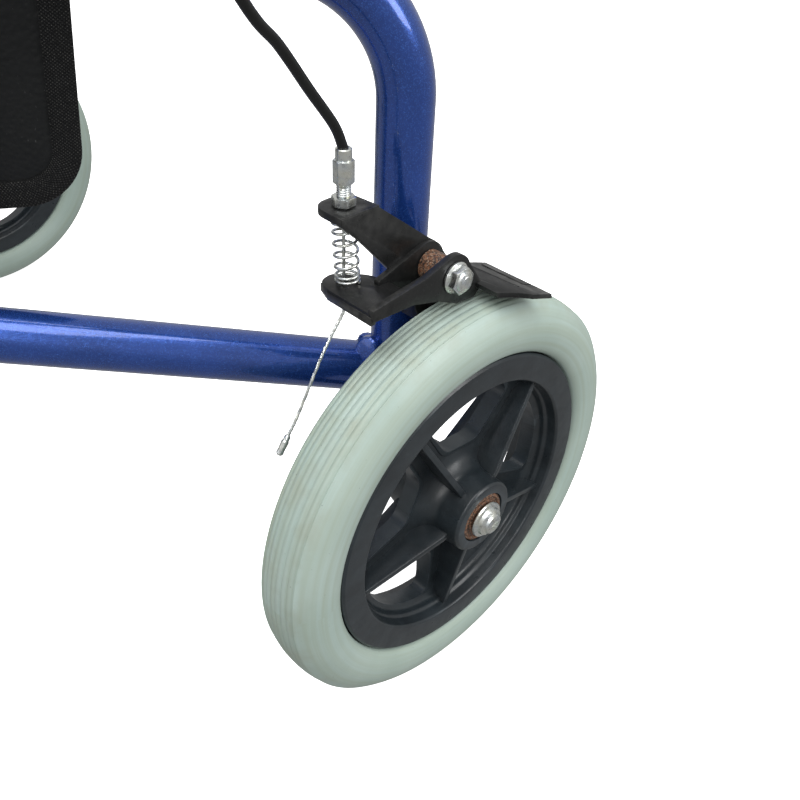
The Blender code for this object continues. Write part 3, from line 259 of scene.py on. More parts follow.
def enamel():
    """Stamped steel dipped in black enamel: soft waves, dust, metal showing on worn edges."""
    look = Look("black_enamel", (0.006, 0.006, 0.0065), 0.34, 0.0, specular_ior_level=0.30, coat_weight=0.06,
                coat_roughness=0.12)
    edge = look.ramp(look.node("ShaderNodeNewGeometry").outputs["Pointiness"], 0.53, 0.62)
    wear = look.math("MULTIPLY", edge, look.ramp(look.noise(240, 4), 0.35, 0.65))
    dust = look.math("MULTIPLY", look.ramp(look.noise(700, 5, 0.7), 0.58, 0.72), 0.30)
    base = look.mix(look.noise(90, 3), (0.0045, 0.0048, 0.0050), (0.0110, 0.0114, 0.0114))
    look.set("Base Color", look.mix(look.math("MAXIMUM", wear, dust), base, (0.075, 0.074, 0.070)))
    look.set("Roughness", look.ramp(look.noise(190, 4), 0.3, 0.7, 0.26, 0.46))
    look.bump(look.noise(300, 2), 0.0002, 0.18)
    return look.mat


def rusted():
    """Sintered bearing shell with rust blooming on it."""
    look = Look("rusted_shell", (0.10, 0.052, 0.034), 0.62, 0.25)
    bloom = look.ramp(look.noise(900, 5, 0.7), 0.42, 0.60)
    pit = look.ramp(look.noise(1700, 3), 0.55, 0.66)
    base = look.mix(bloom, (0.022, 0.015, 0.012), (0.25, 0.115, 0.060))
    look.set("Base Color", look.mix(pit, base, (0.36, 0.27, 0.20)))
    look.set("Roughness", look.ramp(bloom, 0.0, 1.0, 0.42, 0.78))
    look.bump(look.noise(1500, 4), 0.0002, 0.7)
    return look.mat


def cable_cover():
    """Smooth black cable cover with faint ripples from the winding under it."""
    look = Look("cable_cover", (0.005, 0.005, 0.005), 0.30, 0.0, specular_ior_level=0.35)
    dust = look.ramp(look.noise(650, 4, 0.7), 0.60, 0.75)
    look.set("Base Color",
             look.mix(look.math("MULTIPLY", dust, 0.4), (0.005, 0.005, 0.005), (0.03, 0.03, 0.03)))
    look.set("Roughness", look.ramp(look.noise(300, 3), 0.3, 0.7, 0.22, 0.38))
    look.bump(look.noise(260, 2, 0.5, look.stretched((1, 1, 3.0))), 0.00005, 0.1)
    return look.mat


def foam_rubber():
    """Soft handgrip rubber with a pebbled skin."""
    look = Look("grip_rubber", (0.014, 0.014, 0.015), 0.62, 0.0)
    skin = look.cells(900)
    look.set("Base Color", look.mix(skin, (0.010, 0.010, 0.011), (0.030, 0.030, 0.031)))
    look.set("Roughness", look.ramp(look.noise(120, 4), 0.3, 0.7, 0.55, 0.74))
    look.bump(skin, 0.0003, 0.5)
    look.bump(look.noise(60, 4), 0.0004, 0.2)
    return look.mat


def leathercloth():
    """Black coated cloth with a pebble grain, creases and lint."""
    look = Look("leathercloth", (0.006, 0.007, 0.007), 0.56, 0.0, specular_ior_level=0.28, sheen_weight=0.03,
                sheen_roughness=0.5)
    grain = look.cells(520, "Distance", None, feature="SMOOTH_F1")
    crease = look.noise(190, 5, 0.65)
    lint = look.ramp(look.noise(1300, 2, 0.5, look.stretched((1, 1, 0.35))), 0.72, 0.76)
    tone = look.mix(look.ramp(look.noise(26, 4), 0.3, 0.7), (0.0040, 0.0048, 0.0048),
                    (0.0085, 0.0092, 0.0090))
    look.set("Base Color", look.mix(look.math("MULTIPLY", lint, 0.5), tone, (0.12, 0.12, 0.12)))
    look.set("Roughness", look.ramp(grain, 0.0, 0.6, 0.42, 0.62))
    look.bump(grain, 0.0005, 0.55)
    look.bump(crease, 0.0005, 0.4)
    return look.mat


def webbing():
    """Woven edge tape: crossed yarns along the strip's own length and width."""
    look = Look("edge_tape", (0.006, 0.006, 0.006), 0.74, 0.0, specular_ior_level=0.25, sheen_weight=0.05,
                sheen_roughness=0.4)
    uv = look.node("ShaderNodeTexCoord").outputs["UV"]
    split = look.node("ShaderNodeSeparateXYZ", Vector=uv)
    along = look.math("SINE", look.math("MULTIPLY", split.outputs[0], math.tau * 760))
    over = look.math("SINE", look.math("MULTIPLY", split.outputs[1], math.tau * 640))
    yarn = look.ramp(look.math("MULTIPLY", along, over), -0.9, 0.9)
    fleck = look.math("MULTIPLY", look.ramp(yarn, 0.70, 1.0), look.ramp(look.noise(1500, 2), 0.42, 0.62))
    look.set("Base Color", look.mix(fleck, (0.0035, 0.0035, 0.0035), (0.080, 0.079, 0.072)))
    look.set("Roughness", look.ramp(yarn, 0.0, 1.0, 0.8, 0.6))
    look.bump(yarn, 0.0004, 0.8)
    return look.mat


def chromed():
    look = Look("chromed_tube", (0.72, 0.73, 0.75), 0.10, 1.0)
    smear = look.ramp(look.noise(60, 4, 0.6), 0.35, 0.7)
    look.set("Base Color", look.mix(smear, (0.74, 0.75, 0.77), (0.62, 0.63, 0.66)))
    look.set("Roughness", look.ramp(look.noise(90, 5), 0.3, 0.75, 0.07, 0.24))
    look.bump(look.noise(500, 3, 0.5, look.stretched((1, 1, 0.1))), 0.00005, 0.2)
    return look.mat


LOOKS = {
    "frame_paint": blue_paint(),
    "tyre_grey": tyre_polymer(),
    "rim_plastic": moulded("rim_nylon", (0.0110, 0.0150, 0.0180), (0.0200, 0.0270, 0.0320), 0.34),
    "black_plastic": moulded("black_abs", (0.0065, 0.0065, 0.0070), (0.0130, 0.0130, 0.0138), 0.45, 0.35),
    "zinc": plated("zinc_plate", (0.66, 0.70, 0.72), (0.74, 0.74, 0.66), 0.26),
    "black_paint": enamel(),
    "bronze": rusted(),
    "cable_black": cable_cover(),
    "grip_rubber": foam_rubber(),
    "bag_vinyl": leathercloth(),
    "chrome": chromed(),
}
TAPE = webbing()


# ---------------------------------------------------------------- mesh helpers
def link(name, bm=None, data=None):
    if bm is not None:
        data = bpy.data.meshes.new(name)
        bm.to_mesh(data)
        bm.free()
    obj = bpy.data.objects.new(name, data)
    bpy.context.scene.collection.objects.link(obj)
    return obj


def applied(obj):
    """The object with its modifiers made real."""
    bpy.context.view_layer.update()
    graph = bpy.context.evaluated_depsgraph_get()
    baked = bpy.data.meshes.new_from_object(obj.evaluated_get(graph))
    obj.modifiers.clear()
    obj.data = baked
    return obj


def combine(obj, tools, operation):
    for tool in tools:
        mod = obj.modifiers.new("cut", "BOOLEAN")
        mod.operation = operation
        mod.object = tool
        applied(obj)
        bpy.data.objects.remove(tool, do_unlink=True)
    return obj


def cut(obj, *tools):
    return combine(obj, tools, "DIFFERENCE")


def unite(obj, *tools):
    return combine(obj, tools, "UNION")


def soften(obj, width=0.0004, steps=2, angle=32):
    mod = obj.modifiers.new("edge", "BEVEL")
    mod.width = width
    mod.segments = steps
    mod.limit_method = "ANGLE"
    mod.angle_limit = math.radians(angle)
    mod.miter_outer = "MITER_ARC"
    return applied(obj)


def near(x, y, z):
    """A point given from the left wheel's centre, in axle coordinates."""
    return Vector((TRACK + x, y, WHEEL_R + z))


def stand(obj, centre=(0, 0, 0), axis="Z"):
    """Turn a piece drawn along Z onto an axis and move it to its centre."""
    turns = {"Z": Matrix.Identity(4), "X": Matrix.Rotation(math.radians(90), 4, "Y"),
             "Y": Matrix.Rotation(math.radians(-90), 4, "X")}
    if isinstance(axis, str):
        turn = turns[axis]
    else:
        turn = Vector((0, 0, 1)).rotation_difference(Vector(axis)).to_matrix().to_4x4()
    obj.data.transform(Matrix.Translation(Vector(centre)) @ turn)
    return obj


def filleted(points, radius, steps=5, closed=True):
    """Round the corners of an outline; radius is one value or one for each corner."""
    out = []
    count = len(points)
    for i in range(count):
        here = Vector(points[i])
        size = radius[i] if isinstance(radius, (list, tuple)) else radius
        if size <= 0 or (not closed and i in (0, count - 1)):
            out.append(tuple(here))
            continue
        a = Vector(points[i - 1]) - here
        b = Vector(points[(i + 1) % count]) - here
        reach = min(size, a.length * 0.46, b.length * 0.46)
        start, end = here + a.normalized() * reach, here + b.normalized() * reach
        for k in range(steps + 1):
            t = k / steps
            out.append(tuple(start * (1 - t) ** 2 + here * 2 * t * (1 - t) + end * t * t))
    return out


def turned(name, profile, centre=(0, 0, 0), axis="Z", steps=64, radius=0.0):
    """Turn a (radius, height) outline round an axis; corners are rounded by radius."""
    ring_outline = profile[0][0] > 1e-7
    if radius:
        sizes = [0 if r < 1e-7 else radius for r, _ in profile]
        profile = filleted(profile, sizes, 3, ring_outline)
    bm = bmesh.new()
    rings = []
    for r, h in profile:
        if r < 1e-7:
            rings.append([bm.verts.new((0, 0, h))])
            continue
        rings.append([bm.verts.new((r * math.cos(math.tau * k / steps), r * math.sin(math.tau * k / steps),
                                    h))
                      for k in range(steps)])
    pairs = list(zip(rings, rings[1:]))
    if ring_outline:
        pairs.append((rings[-1], rings[0]))
    for low, high in pairs:
        for k in range(steps):
            corner = [low[k % len(low)], low[(k + 1) % steps % len(low)],
                      high[(k + 1) % steps % len(high)], high[k % len(high)]]
            face = list(dict.fromkeys(corner))
            if len(face) > 2:
                bm.faces.new(face)
    bmesh.ops.recalc_face_normals(bm, faces=bm.faces)
    return stand(link(name, bm), centre, axis)


def rod(name, centre, axis, radius, low, high, edge=0.0003, steps=48):
    return turned(name, [(0, low), (radius, low), (radius, high), (0, high)], centre, axis, steps, edge)


def hexagon(name, centre, axis, across, low, high, turn=0.0):
    """Hexagon nut or head with its corners turned off."""
    bm = bmesh.new()
    bmesh.ops.create_cone(bm, cap_ends=True, segments=6, radius1=across / math.sqrt(3),
                          radius2=across / math.sqrt(3), depth=high - low,
                          matrix=Matrix.Translation((0, 0, (low + high) / 2)) @ Matrix.Rotation(turn, 4,
                                                                                                "Z"))
    nut = soften(link(name, bm), 0.00025, 2)
    reach, crown = across / math.sqrt(3), across * 0.48
    drop = (reach - crown) * 0.55
    trim = turned("trim",
                  [(0, low), (crown, low), (reach + 0.0001, low + drop), (reach + 0.0001, high - drop),
                           (crown, high), (0, high)], steps=48)
    return stand(combine(nut, [trim], "INTERSECT"), centre, axis)


def plate(name, outline, low, high, plane="XY", edge=0.0004, steps=2):
    """Flat plate between two heights, its edges rounded."""
    bm = bmesh.new()
    loops = [[bm.verts.new((a, b, h)) for a, b in outline] for h in (low, high)]
    bm.faces.new(loops[0])
    bm.faces.new(loops[1])
    count = len(outline)
    for k in range(count):
        bm.faces.new([loops[0][k], loops[0][(k + 1) % count], loops[1][(k + 1) % count], loops[1][k]])
    bmesh.ops.recalc_face_normals(bm, faces=bm.faces)
    obj = link(name, bm)
    if plane == "YZ":
        obj.data.transform(Matrix(((0, 0, 1, 0), (1, 0, 0, 0), (0, 1, 0, 0), (0, 0, 0, 1))))
    return soften(obj, edge, steps) if edge else obj


def spun(path, up=(0, 0, 1)):
    """Frames along a path that turn as little as they can: (point, side, top) each."""
    path = [Vector(p) for p in path]
    ahead = [(path[min(i + 1, len(path) - 1)] - path[max(i - 1, 0)]).normalized() for i in range(len(path))]
    top = Vector(up)
    if abs(top.dot(ahead[0])) > 0.95:
        top = Vector((1, 0, 0))
    out = []
    for point, run in zip(path, ahead):
        side = run.cross(top).normalized()
        top = side.cross(run).normalized()
        out.append((point, side, top, run))
    return out


def tube(name, path, radius, wall=0.0, sides=40, mouth=0.012):
    """Round bar along a path; with a wall, its ends are open for a short way in."""
    bm = bmesh.new()
    frames = spun(path)

    def ring(place, size):
        point, side, top, _ = place
        return [bm.verts.new(point + (side * math.cos(math.tau * k / sides)
                                      + top * math.sin(math.tau * k / sides)) * size) for k in range(sides)]

    rings = [ring(place, radius) for place in frames]
    if wall:
        first, last = frames[0], frames[-1]
        deep_first = (first[0] + first[3] * mouth, *first[1:])
        deep_last = (last[0] - last[3] * mouth, *last[1:])
        bore = radius - wall
        rings = [ring(deep_first, bore), ring(first, bore)] + rings + [ring(last, bore),
                                                                       ring(deep_last, bore)]
    for low, high in zip(rings, rings[1:]):
        for k in range(sides):
            bm.faces.new([low[k], low[(k + 1) % sides], high[(k + 1) % sides], high[k]])
    bm.faces.new(rings[0])
    bm.faces.new(rings[-1])
    bmesh.ops.recalc_face_normals(bm, faces=bm.faces)
    return link(name, bm)


def ribbon(name, path, across, width, thick, normals):
    """Flat strip along a path with rounded long edges and its own UVs in metres."""
    bm = bmesh.new()
    layer = bm.loops.layers.uv.new("UVMap")
    section = []
    for k in range(16):
        a = math.tau * k / 16
        section.append((math.copysign(abs(math.cos(a)) ** 0.45, math.cos(a)) * width / 2,
                        math.copysign(abs(math.sin(a)) ** 0.7, math.sin(a)) * thick / 2))
    rings, run = [], [0.0]
    for i, (point, flat, normal) in enumerate(zip(path, across, normals)):
        rings.append([bm.verts.new(Vector(point) + flat * a + normal * b) for a, b in section])
        if i:
            run.append(run[-1] + (Vector(point) - Vector(path[i - 1])).length)
    for i in range(len(rings) - 1):
        for k in range(16):
            n = (k + 1) % 16
            face = bm.faces.new([rings[i][k], rings[i][n], rings[i + 1][n], rings[i + 1][k]])
            spots = [(run[i], k), (run[i], k + 1), (run[i + 1], k + 1), (run[i + 1], k)]
            for loop, (u, v) in zip(face.loops, spots):
                loop[layer].uv = (u, section[v % 16][0] + width)
    bm.faces.new(rings[0])
    bm.faces.new(rings[-1])
    bmesh.ops.recalc_face_normals(bm, faces=bm.faces)
    return link(name, bm)


def smooth_path(points, per_leg=8):
    """Catmull-Rom curve through the points."""
    points = [Vector(p) for p in points]
    ghost = [points[0] * 2 - points[1]] + points + [points[-1] * 2 - points[-2]]
    out = []
    for i in range(1, len(ghost) - 2):
        p0, p1, p2, p3 = ghost[i - 1:i + 3]
        for k in range(per_leg):
            t = k / per_leg
            out.append(0.5 * (2 * p1 + (p2 - p0) * t + (2 * p0 - 5 * p1 + 4 * p2 - p3) * t * t
                              + (3 * p1 - p0 - 3 * p2 + p3) * t ** 3))
    out.append(points[-1])
    return out


def corner_path(start, corner, end, radius, steps=16):
    """Straight, arc, straight."""
    start, corner, end = Vector(start), Vector(corner), Vector(end)
    into, out = (corner - start).normalized(), (end - corner).normalized()
    angle = into.angle(out)
    first = corner - into * radius * math.tan(angle / 2)
    side = (out - into * out.dot(into)).normalized()
    arc = [first + into * radius * math.sin(angle * k / steps)
            + side * radius * (1 - math.cos(angle * k / steps))
           for k in range(steps + 1)]
    return [start] + arc + [end]


# ---------------------------------------------------------------- placing pieces
def shade(obj, slot, angle=32):
    obj.data.materials.clear()
    obj.data.materials.append(TAPE if slot == "tape" else LOOKS[slot])
    obj.data.shade_smooth()
    obj.data.set_sharp_from_angle(angle=math.radians(angle))


def place(obj, name, slot, body, nodes=(), origin=None, angle=32):
    """Finish a piece drawn in axle coordinates: row frame, material, body and CAD nodes."""
    obj.name = name
    obj.data.transform(Matrix.Translation((0, SHIFT, 0)))
    if origin is not None:
        obj.data.transform(Matrix.Translation(-origin))
        obj.location = origin
    shade(obj, slot, angle)
    if nodes:
        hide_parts(*nodes)
    if body:
        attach(obj, body)
    return obj


def pair(obj, stem, slot, body, nodes=(), origin=None, angle=32):
    """Place a left piece and its mirror; {t} is l or r and {s} is left or right."""
    twin = link("twin", data=obj.data.copy())
    twin.data.transform(Matrix.Scale(-1, 4, (1, 0, 0)))
    twin.data.flip_normals()
    made = []
    for piece, t, s, sign in ((obj, "l", "left", 1), (twin, "r", "right", -1)):
        named = [n.format(t=t, s=s) for n in nodes]
        at = None if origin is None else Vector((origin.x * sign, origin.y, origin.z))
        made.append(place(piece, stem.format(t=t, s=s), slot, body.format(t=t, s=s) if body else None,
                          named, at, angle))
    return made


# ---------------------------------------------------------------- side frame geometry
FORWARD = Vector((-math.sin(SPLAY), -math.cos(SPLAY), 0))
OUTWARD = Vector((math.cos(SPLAY), -math.sin(SPLAY), 0))
SLEEVE_DIR = (Vector((0, 0, math.cos(SLEEVE_LEAN))) - FORWARD * math.sin(SLEEVE_LEAN)).normalized()
BEND_END_S = BEND_R * (1 - math.cos(BEND_ANGLE))
BEND_END_Z = BEND_Z + BEND_R * math.sin(BEND_ANGLE)


def on_frame(s, z, off=0.0):
    return Vector((UPRIGHT_X, 0, z)) + FORWARD * s + OUTWARD * off


def rail_z(s):
    return BEND_END_Z + (s - BEND_END_S) / math.tan(BEND_ANGLE)


def sleeve_s(z):
    return KINK_S - (z - KINK_Z) * math.tan(SLEEVE_LEAN)


MEET_S = BEND_END_S
for _ in range(40):
    MEET_S = sleeve_s(rail_z(MEET_S))
MEET = on_frame(MEET_S, rail_z(MEET_S))


def weld_bead(name, centre, axis, major, minor=0.0022, lumps=26, span=(0.0, math.tau), squash=1.0):
    """Rippled bead round a tube where another tube meets it."""
    axis = Vector(axis).normalized()
    side = axis.orthogonal().normalized()
    top = axis.cross(side)
    path, sizes = [], []
    steps = lumps * 6
    full = span[1] - span[0] >= math.tau - 1e-6
    for k in range(steps + (0 if full else 1)):
        a = span[0] + (span[1] - span[0]) * k / steps
        ripple = abs(math.sin(lumps * a / 2)) ** 0.7
        wob = noise.noise(Vector((math.cos(a) * 3, math.sin(a) * 3, centre[2] * 50)))
        path.append(Vector(centre) + (side * math.cos(a) + top * math.sin(a)) * (major + 0.0004 * wob))
        sizes.append(minor * (0.72 + 0.28 * ripple + 0.18 * wob))
    bm = bmesh.new()
    rings = []
    count = len(path)
    for k, (point, size) in enumerate(zip(path, sizes)):
        out = (point - Vector(centre)).normalized()
        rings.append([bm.verts.new(point + (out * math.cos(math.tau * j / 12)
                                            + axis * math.sin(math.tau * j / 12) * squash) * size)
                      for j in range(12)])
    for k in range(count if full else count - 1):
        low, high = rings[k], rings[(k + 1) % count]
        for j in range(12):
            bm.faces.new([low[j], low[(j + 1) % 12], high[(j + 1) % 12], high[j]])
    if not full:
        bm.faces.new(rings[0])
        bm.faces.new(rings[-1])
    bmesh.ops.recalc_face_normals(bm, faces=bm.faces)
    return link(name, bm)


# ---------------------------------------------------------------- wheels
def tyre_section():
    """Tread with fine grooves between rounded shoulders, as (radius, across) from one lip to the other."""
    top, half, bow = WHEEL_R, 0.0090, 17.0
    outline = [(RING_OUT + 0.0004, 0.0100), (RING_OUT + 0.0012, 0.0126), (0.0790, 0.0145), (0.0830, 0.0156),
               (0.0870, 0.0157), (0.0905, 0.0150), (0.0945, 0.0131), (0.0972, 0.0110)]
    outline = [(p[0], p[1]) for p in smooth_path([(r, h, 0) for r, h in outline], 4)]
    grooves = 7
    pitch = 2 * half / (grooves - 1)
    tread = []
    for k in range(grooves):
        at = half - k * pitch
        crown = top - bow * at * at
        depth, lip = (0.00060, 0.00062) if k % 2 == 0 else (0.00038, 0.00048)
        tread += [(crown, at + lip), (crown - depth * 0.85, at + lip * 0.35), (crown - depth, at),
                  (crown - depth * 0.85, at - lip * 0.35), (crown, at - lip)]
        if k < grooves - 1:
            middle = at - pitch / 2
            tread.append((top - bow * middle * middle + 0.00010, middle))
    tread = [(min(r, top), h) for r, h in tread]
    right = outline + tread[:len(tread) // 2 + 1]
    return right + [(r, -h) for r, h in reversed(right[:-1])]


def window_outline(middle, grow=0.0):
    """One opening between two ribs, in (y, z) round the hub."""
    half = math.pi / RIBS
    low, high = 0.0300 - grow, 0.0570 + grow
    a, b = half * 0.54 + grow / low, half * 0.79 + grow / high
    points = [(low, -a), (high, -b), (high + 0.0012, -b * 0.5), (high + 0.0016, 0.0),
              (high + 0.0012, b * 0.5), (high, b), (low, a), (low - 0.0014, 0.0)]
    flat = [(r * math.cos(middle + t), r * math.sin(middle + t)) for r, t in points]
    sizes = [0.0085, 0.0065, 0.02, 0.02, 0.02, 0.0065, 0.0085, 0.02]
    return filleted(flat, sizes, 6)


def rim_piece():
    """Moulded rim: flanged ring, dished web with framed windows, ribs both sides, hub."""
    half_web = 0.0022
    profile = [(RING_OUT, RING_X - 0.0010), (RING_OUT - 0.0010, RING_X), (RING_IN + 0.0008, RING_X),
               (RING_IN, RING_X - 0.0008), (RING_IN - 0.0008, 0.0078), (RING_IN - 0.0020, 0.0068),
               (RING_IN - 0.0026, 0.0040), (0.0560, half_web), (0.0270, half_web), (0.0212, 0.0042),
               (HUB_R + 0.0006, 0.0090), (HUB_R, HUB_X - 0.0010), (HUB_R - 0.0010, HUB_X), (0.0124, HUB_X)]
    rounding = [0.0004, 0.0004, 0.0005, 0.0005, 0.0006, 0.0008, 0.0030, 0.0045, 0.0040, 0.0030, 0.0020,
                0.0005, 0.0005, 0.0]
    right = filleted(profile, rounding, 4, closed=False)
    rim = turned("rim", right + [(r, -h) for r, h in reversed(right)], steps=144)
    stand(rim, (0, 0, 0), "X")
    frames, windows = [], []
    for k in range(RIBS):
        middle = RIB_PHASE + (k + 0.5) * math.tau / RIBS
        frames.append(plate("frame", window_outline(middle, 0.0018), -0.0050, 0.0028, "YZ", 0.0007, 2))
        windows.append(plate("window", window_outline(middle), -0.03, 0.03, "YZ", 0))
    blades = []
    for k in range(RIBS):
        angle = RIB_PHASE + k * math.tau / RIBS
        outline = [(-0.0150, 0.0120), (0.0160, 0.0120), (0.0162, 0.0200), (0.0096, RING_IN + 0.0004),
                   (-0.0090, RING_IN + 0.0004), (-0.0150, 0.0200)]
        blade = plate("rib", outline, -0.00145, 0.00145, "XY", 0.0004, 2)
        blade.data.transform(Matrix.Rotation(angle - math.pi / 2, 4, "X") @ Matrix(
            ((1, 0, 0, 0), (0, 0, 1, 0), (0, 1, 0, 0), (0, 0, 0, 1))))
        blade.data.flip_normals()
        blades.append(blade)
    unite(rim, *frames)
    cut(rim, *windows)
    unite(rim, *blades)
    bore = rod("bore", (0, 0, 0), "X", 0.0124, -0.03, 0.03, 0, 64)
    return cut(rim, bore)


def wheel_pieces(centre):
    """Tyre, rim and bearing round one axle, in axle coordinates."""
    tyre = stand(turned("tyre", tyre_section() + [(RING_OUT + 0.0003, -0.0090), (RING_OUT + 0.0003, 0.0090)],
                        steps=168), (0, 0, 0), "X")
    rim = rim_piece()
    shell = [(0.0119, -0.0209), (0.0119, 0.0209), (0.0105, 0.0213), (0.0100, 0.0206), (0.0084, 0.0206),
             (0.0080, 0.0211), (0.0046, 0.0211), (0.0046, -0.0211)]
    bearing = turned("bearing", shell, (0, 0, 0), "X", 64, 0.0002)
    for piece in (tyre, rim, bearing):
        piece.data.transform(Matrix.Translation(centre))
    return tyre, rim, bearing


def copy_of(obj, move):
    twin = link(obj.name, data=obj.data.copy())
    twin.data.transform(move)
    return twin


axle_point = near(0, 0, 0)
castor_point = Vector((0, CASTOR.y - SHIFT, CASTOR.z))
trio = wheel_pieces(axle_point)
to_castor = Matrix.Translation(castor_point - axle_point)
castor_trio = [copy_of(piece, to_castor) for piece in trio]
row_axle = axle_point + Vector((0, SHIFT, 0))
row_castor = castor_point + Vector((0, SHIFT, 0))
pair(trio[0], "tyre_{t}", "tyre_grey", "wheel_{s}", ["rear_{t}_tyre"], row_axle, 60)
pair(trio[1], "rim_{t}", "rim_plastic", "wheel_{s}", ["rear_{t}_rim"], row_axle, 38)
pair(trio[2], "hub_bearing_{t}", "bronze", "wheel_{s}", ["rear_bearing_{t}"], row_axle)
place(castor_trio[0], "front_tyre", "tyre_grey", "castor_wheel", ["castor_tyre"], row_castor, 60)
place(castor_trio[1], "front_rim", "rim_plastic", "castor_wheel", ["castor_rim"], row_castor, 38)
place(castor_trio[2], "front_bearing", "bronze", "castor_wheel", ["castor_bearing"], row_castor)


def axle_bolt(at, inner, seat):
    """Axle with a flanged, domed head outside and a nut inside."""
    profile = [(0, inner), (0.0036, inner), (0.0040, inner + 0.0004), (0.0040, seat), (0.0086, seat),
               (0.0088, seat + 0.0005), (0.0086, seat + 0.0013), (0.0070, seat + 0.0018),
               (0.0066, seat + 0.0032), (0.0050, seat + 0.0042), (0.0046, seat + 0.0052),
               (0.0024, seat + 0.0060), (0, seat + 0.0061)]
    bolt = turned("axle", profile, at, "X", 48)
    socket = hexagon("socket", at, "X", 0.0040, seat + 0.0045, seat + 0.0075, 0.4)
    nut = hexagon("nut", at, "X", 0.0112, inner + 0.0008, inner + 0.0062, 0.3)
    cut(bolt, socket)
    return unite(bolt, nut)


pair(axle_bolt(axle_point, -0.0565, HUB_X + 0.0009), "axle_{t}", "zinc", "frame_{s}", ["rear_axle_{t}"])
place(axle_bolt(castor_point, -0.0375, 0.0298), "front_axle", "zinc", "castor", ["castor_axle"])

# ---------------------------------------------------------------- side frames
bend = [on_frame(BEND_R * (1 - math.cos(BEND_ANGLE * k / 20)),
                 BEND_Z + BEND_R * math.sin(BEND_ANGLE * k / 20))
        for k in range(21)]
rail = tube("rail", [on_frame(0, UPRIGHT_BASE)] + bend + [MEET - (MEET - bend[-1]).normalized() * 0.010],
            TUBE_R, WALL, 56)
axle_hole = rod("axle_hole", on_frame(0, WHEEL_R), "X", 0.0043, -0.02, 0.02, 0, 32)
cut(rail, axle_hole)
bead_low = weld_bead("bead", on_frame(0.0135, BAR_Z0 + BAR_SLOPE * 0.0135),
                     FORWARD + Vector((0, 0, BAR_SLOPE)),
                     TUBE_R + 0.0004, 0.0031, 13, squash=1.3)
knuckle = rod("knuckle", on_frame(0.0120, BAR_Z0 + 0.0145, 0.004), (0.2, -1, 0.4), 0.0056, -0.0042, 0.0042,
              0.0022)
pair(rail, "rear_upright_{t}", "frame_paint", "frame_{s}", ["rear_rail_{t}"])

upper = tube("upper", [MEET + (on_frame(POST_S, rail_z(POST_S)) - MEET).normalized() * 0.010,
                       on_frame(POST_S - TUBE_R * 0.6, rail_z(POST_S - TUBE_R * 0.6))], TUBE_R, 0, 56)
bead_post = weld_bead("bead", on_frame(POST_S - 0.0125, rail_z(POST_S - 0.0125)),
                      FORWARD + Vector((0, 0, 0.27)), TUBE_R + 0.0003, 0.0018, 20)
pair(unite(upper, bead_post), "upper_bar_tube_{t}", "frame_paint", "frame_{s}", ["upper_bar_{t}"])

slope = (BAR_END_Z - KINK_Z) / (POST_S - KINK_S)
low_path = corner_path(on_frame(0.0085, BAR_Z0 + BAR_SLOPE * 0.0085), on_frame(KINK_S, KINK_Z),
                       on_frame(POST_S - TUBE_R * 0.6, BAR_END_Z - slope * TUBE_R * 0.6), 0.18, 10)
lower = tube("lower", low_path, TUBE_R, 0, 56)
link_s = POST_S - LINK_ARM
link_at = on_frame(link_s, 0)
bar_here = KINK_Z + slope * (link_s - KINK_S)
link_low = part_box("fold_link_l")[0].z
link_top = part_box("fold_link_l")[1].z
ear = turned("ear", [(0, bar_here + 0.004), (0.0085, bar_here + 0.008), (0.0066, bar_here + 0.0125),
                     (0.0064, link_low - 0.0004), (0.0028, link_low - 0.0004), (0.0028, link_top + 0.0016),
                     (0.0052, link_top + 0.0018), (0.0048, link_top + 0.0030), (0, link_top + 0.0032)],
             (link_at.x, link_at.y, 0), "Z", 40)
bead_end = weld_bead("bead", on_frame(POST_S - 0.0125, BAR_END_Z - slope * 0.0125),
                     FORWARD + Vector((0, 0, slope)), TUBE_R + 0.0003, 0.0018, 20)
unite(lower, bead_low, knuckle, bead_end, ear)
pair(lower, "lower_bar_tube_{t}", "frame_paint", "frame_{s}", ["lower_bar_{t}"])

post = turned("post",
              [(0.0043, post_low.z), (TUBE_R, post_low.z), (TUBE_R, post_high.z), (0.0043, post_high.z)],
              (POST_X, POST_Y, 0), "Z", 56, 0.0006)
pair(post, "hinge_tube_{t}", "frame_paint", "frame_{s}", ["hinge_post_{t}"])

sleeve_low = on_frame(KINK_S, KINK_Z) + SLEEVE_DIR * 0.0085
sleeve_top = on_frame(sleeve_s(SLEEVE_TOP), SLEEVE_TOP)
sleeve = tube("sleeve", [sleeve_low, sleeve_top], SLEEVE_R, SLEEVE_R - SLEEVE_BORE, 56, 0.030)
boss = tube("boss", [on_frame(sleeve_s(KNOB_Z), KNOB_Z, 0.0118), on_frame(sleeve_s(KNOB_Z), KNOB_Z, 0.0148)],
            0.0062, 0, 32)
collar = weld_bead("bead", on_frame(KINK_S, KINK_Z) + SLEEVE_DIR * 0.0125, SLEEVE_DIR, SLEEVE_R + 0.0003,
                   0.0019, 22)
joint = weld_bead("bead", MEET + (bend[-1] - MEET).normalized() * 0.0145, MEET - bend[-1], TUBE_R + 0.0003,
                  0.0018, 20)
joint_two = weld_bead("bead", MEET - (bend[-1] - MEET).normalized() * 0.0145, MEET - bend[-1],
                      TUBE_R + 0.0003,
                      0.0018, 20)
unite(sleeve, boss, collar, joint, joint_two)
pair(sleeve, "height_sleeve_{t}", "frame_paint", "frame_{s}", ["handle_sleeve_{t}"])


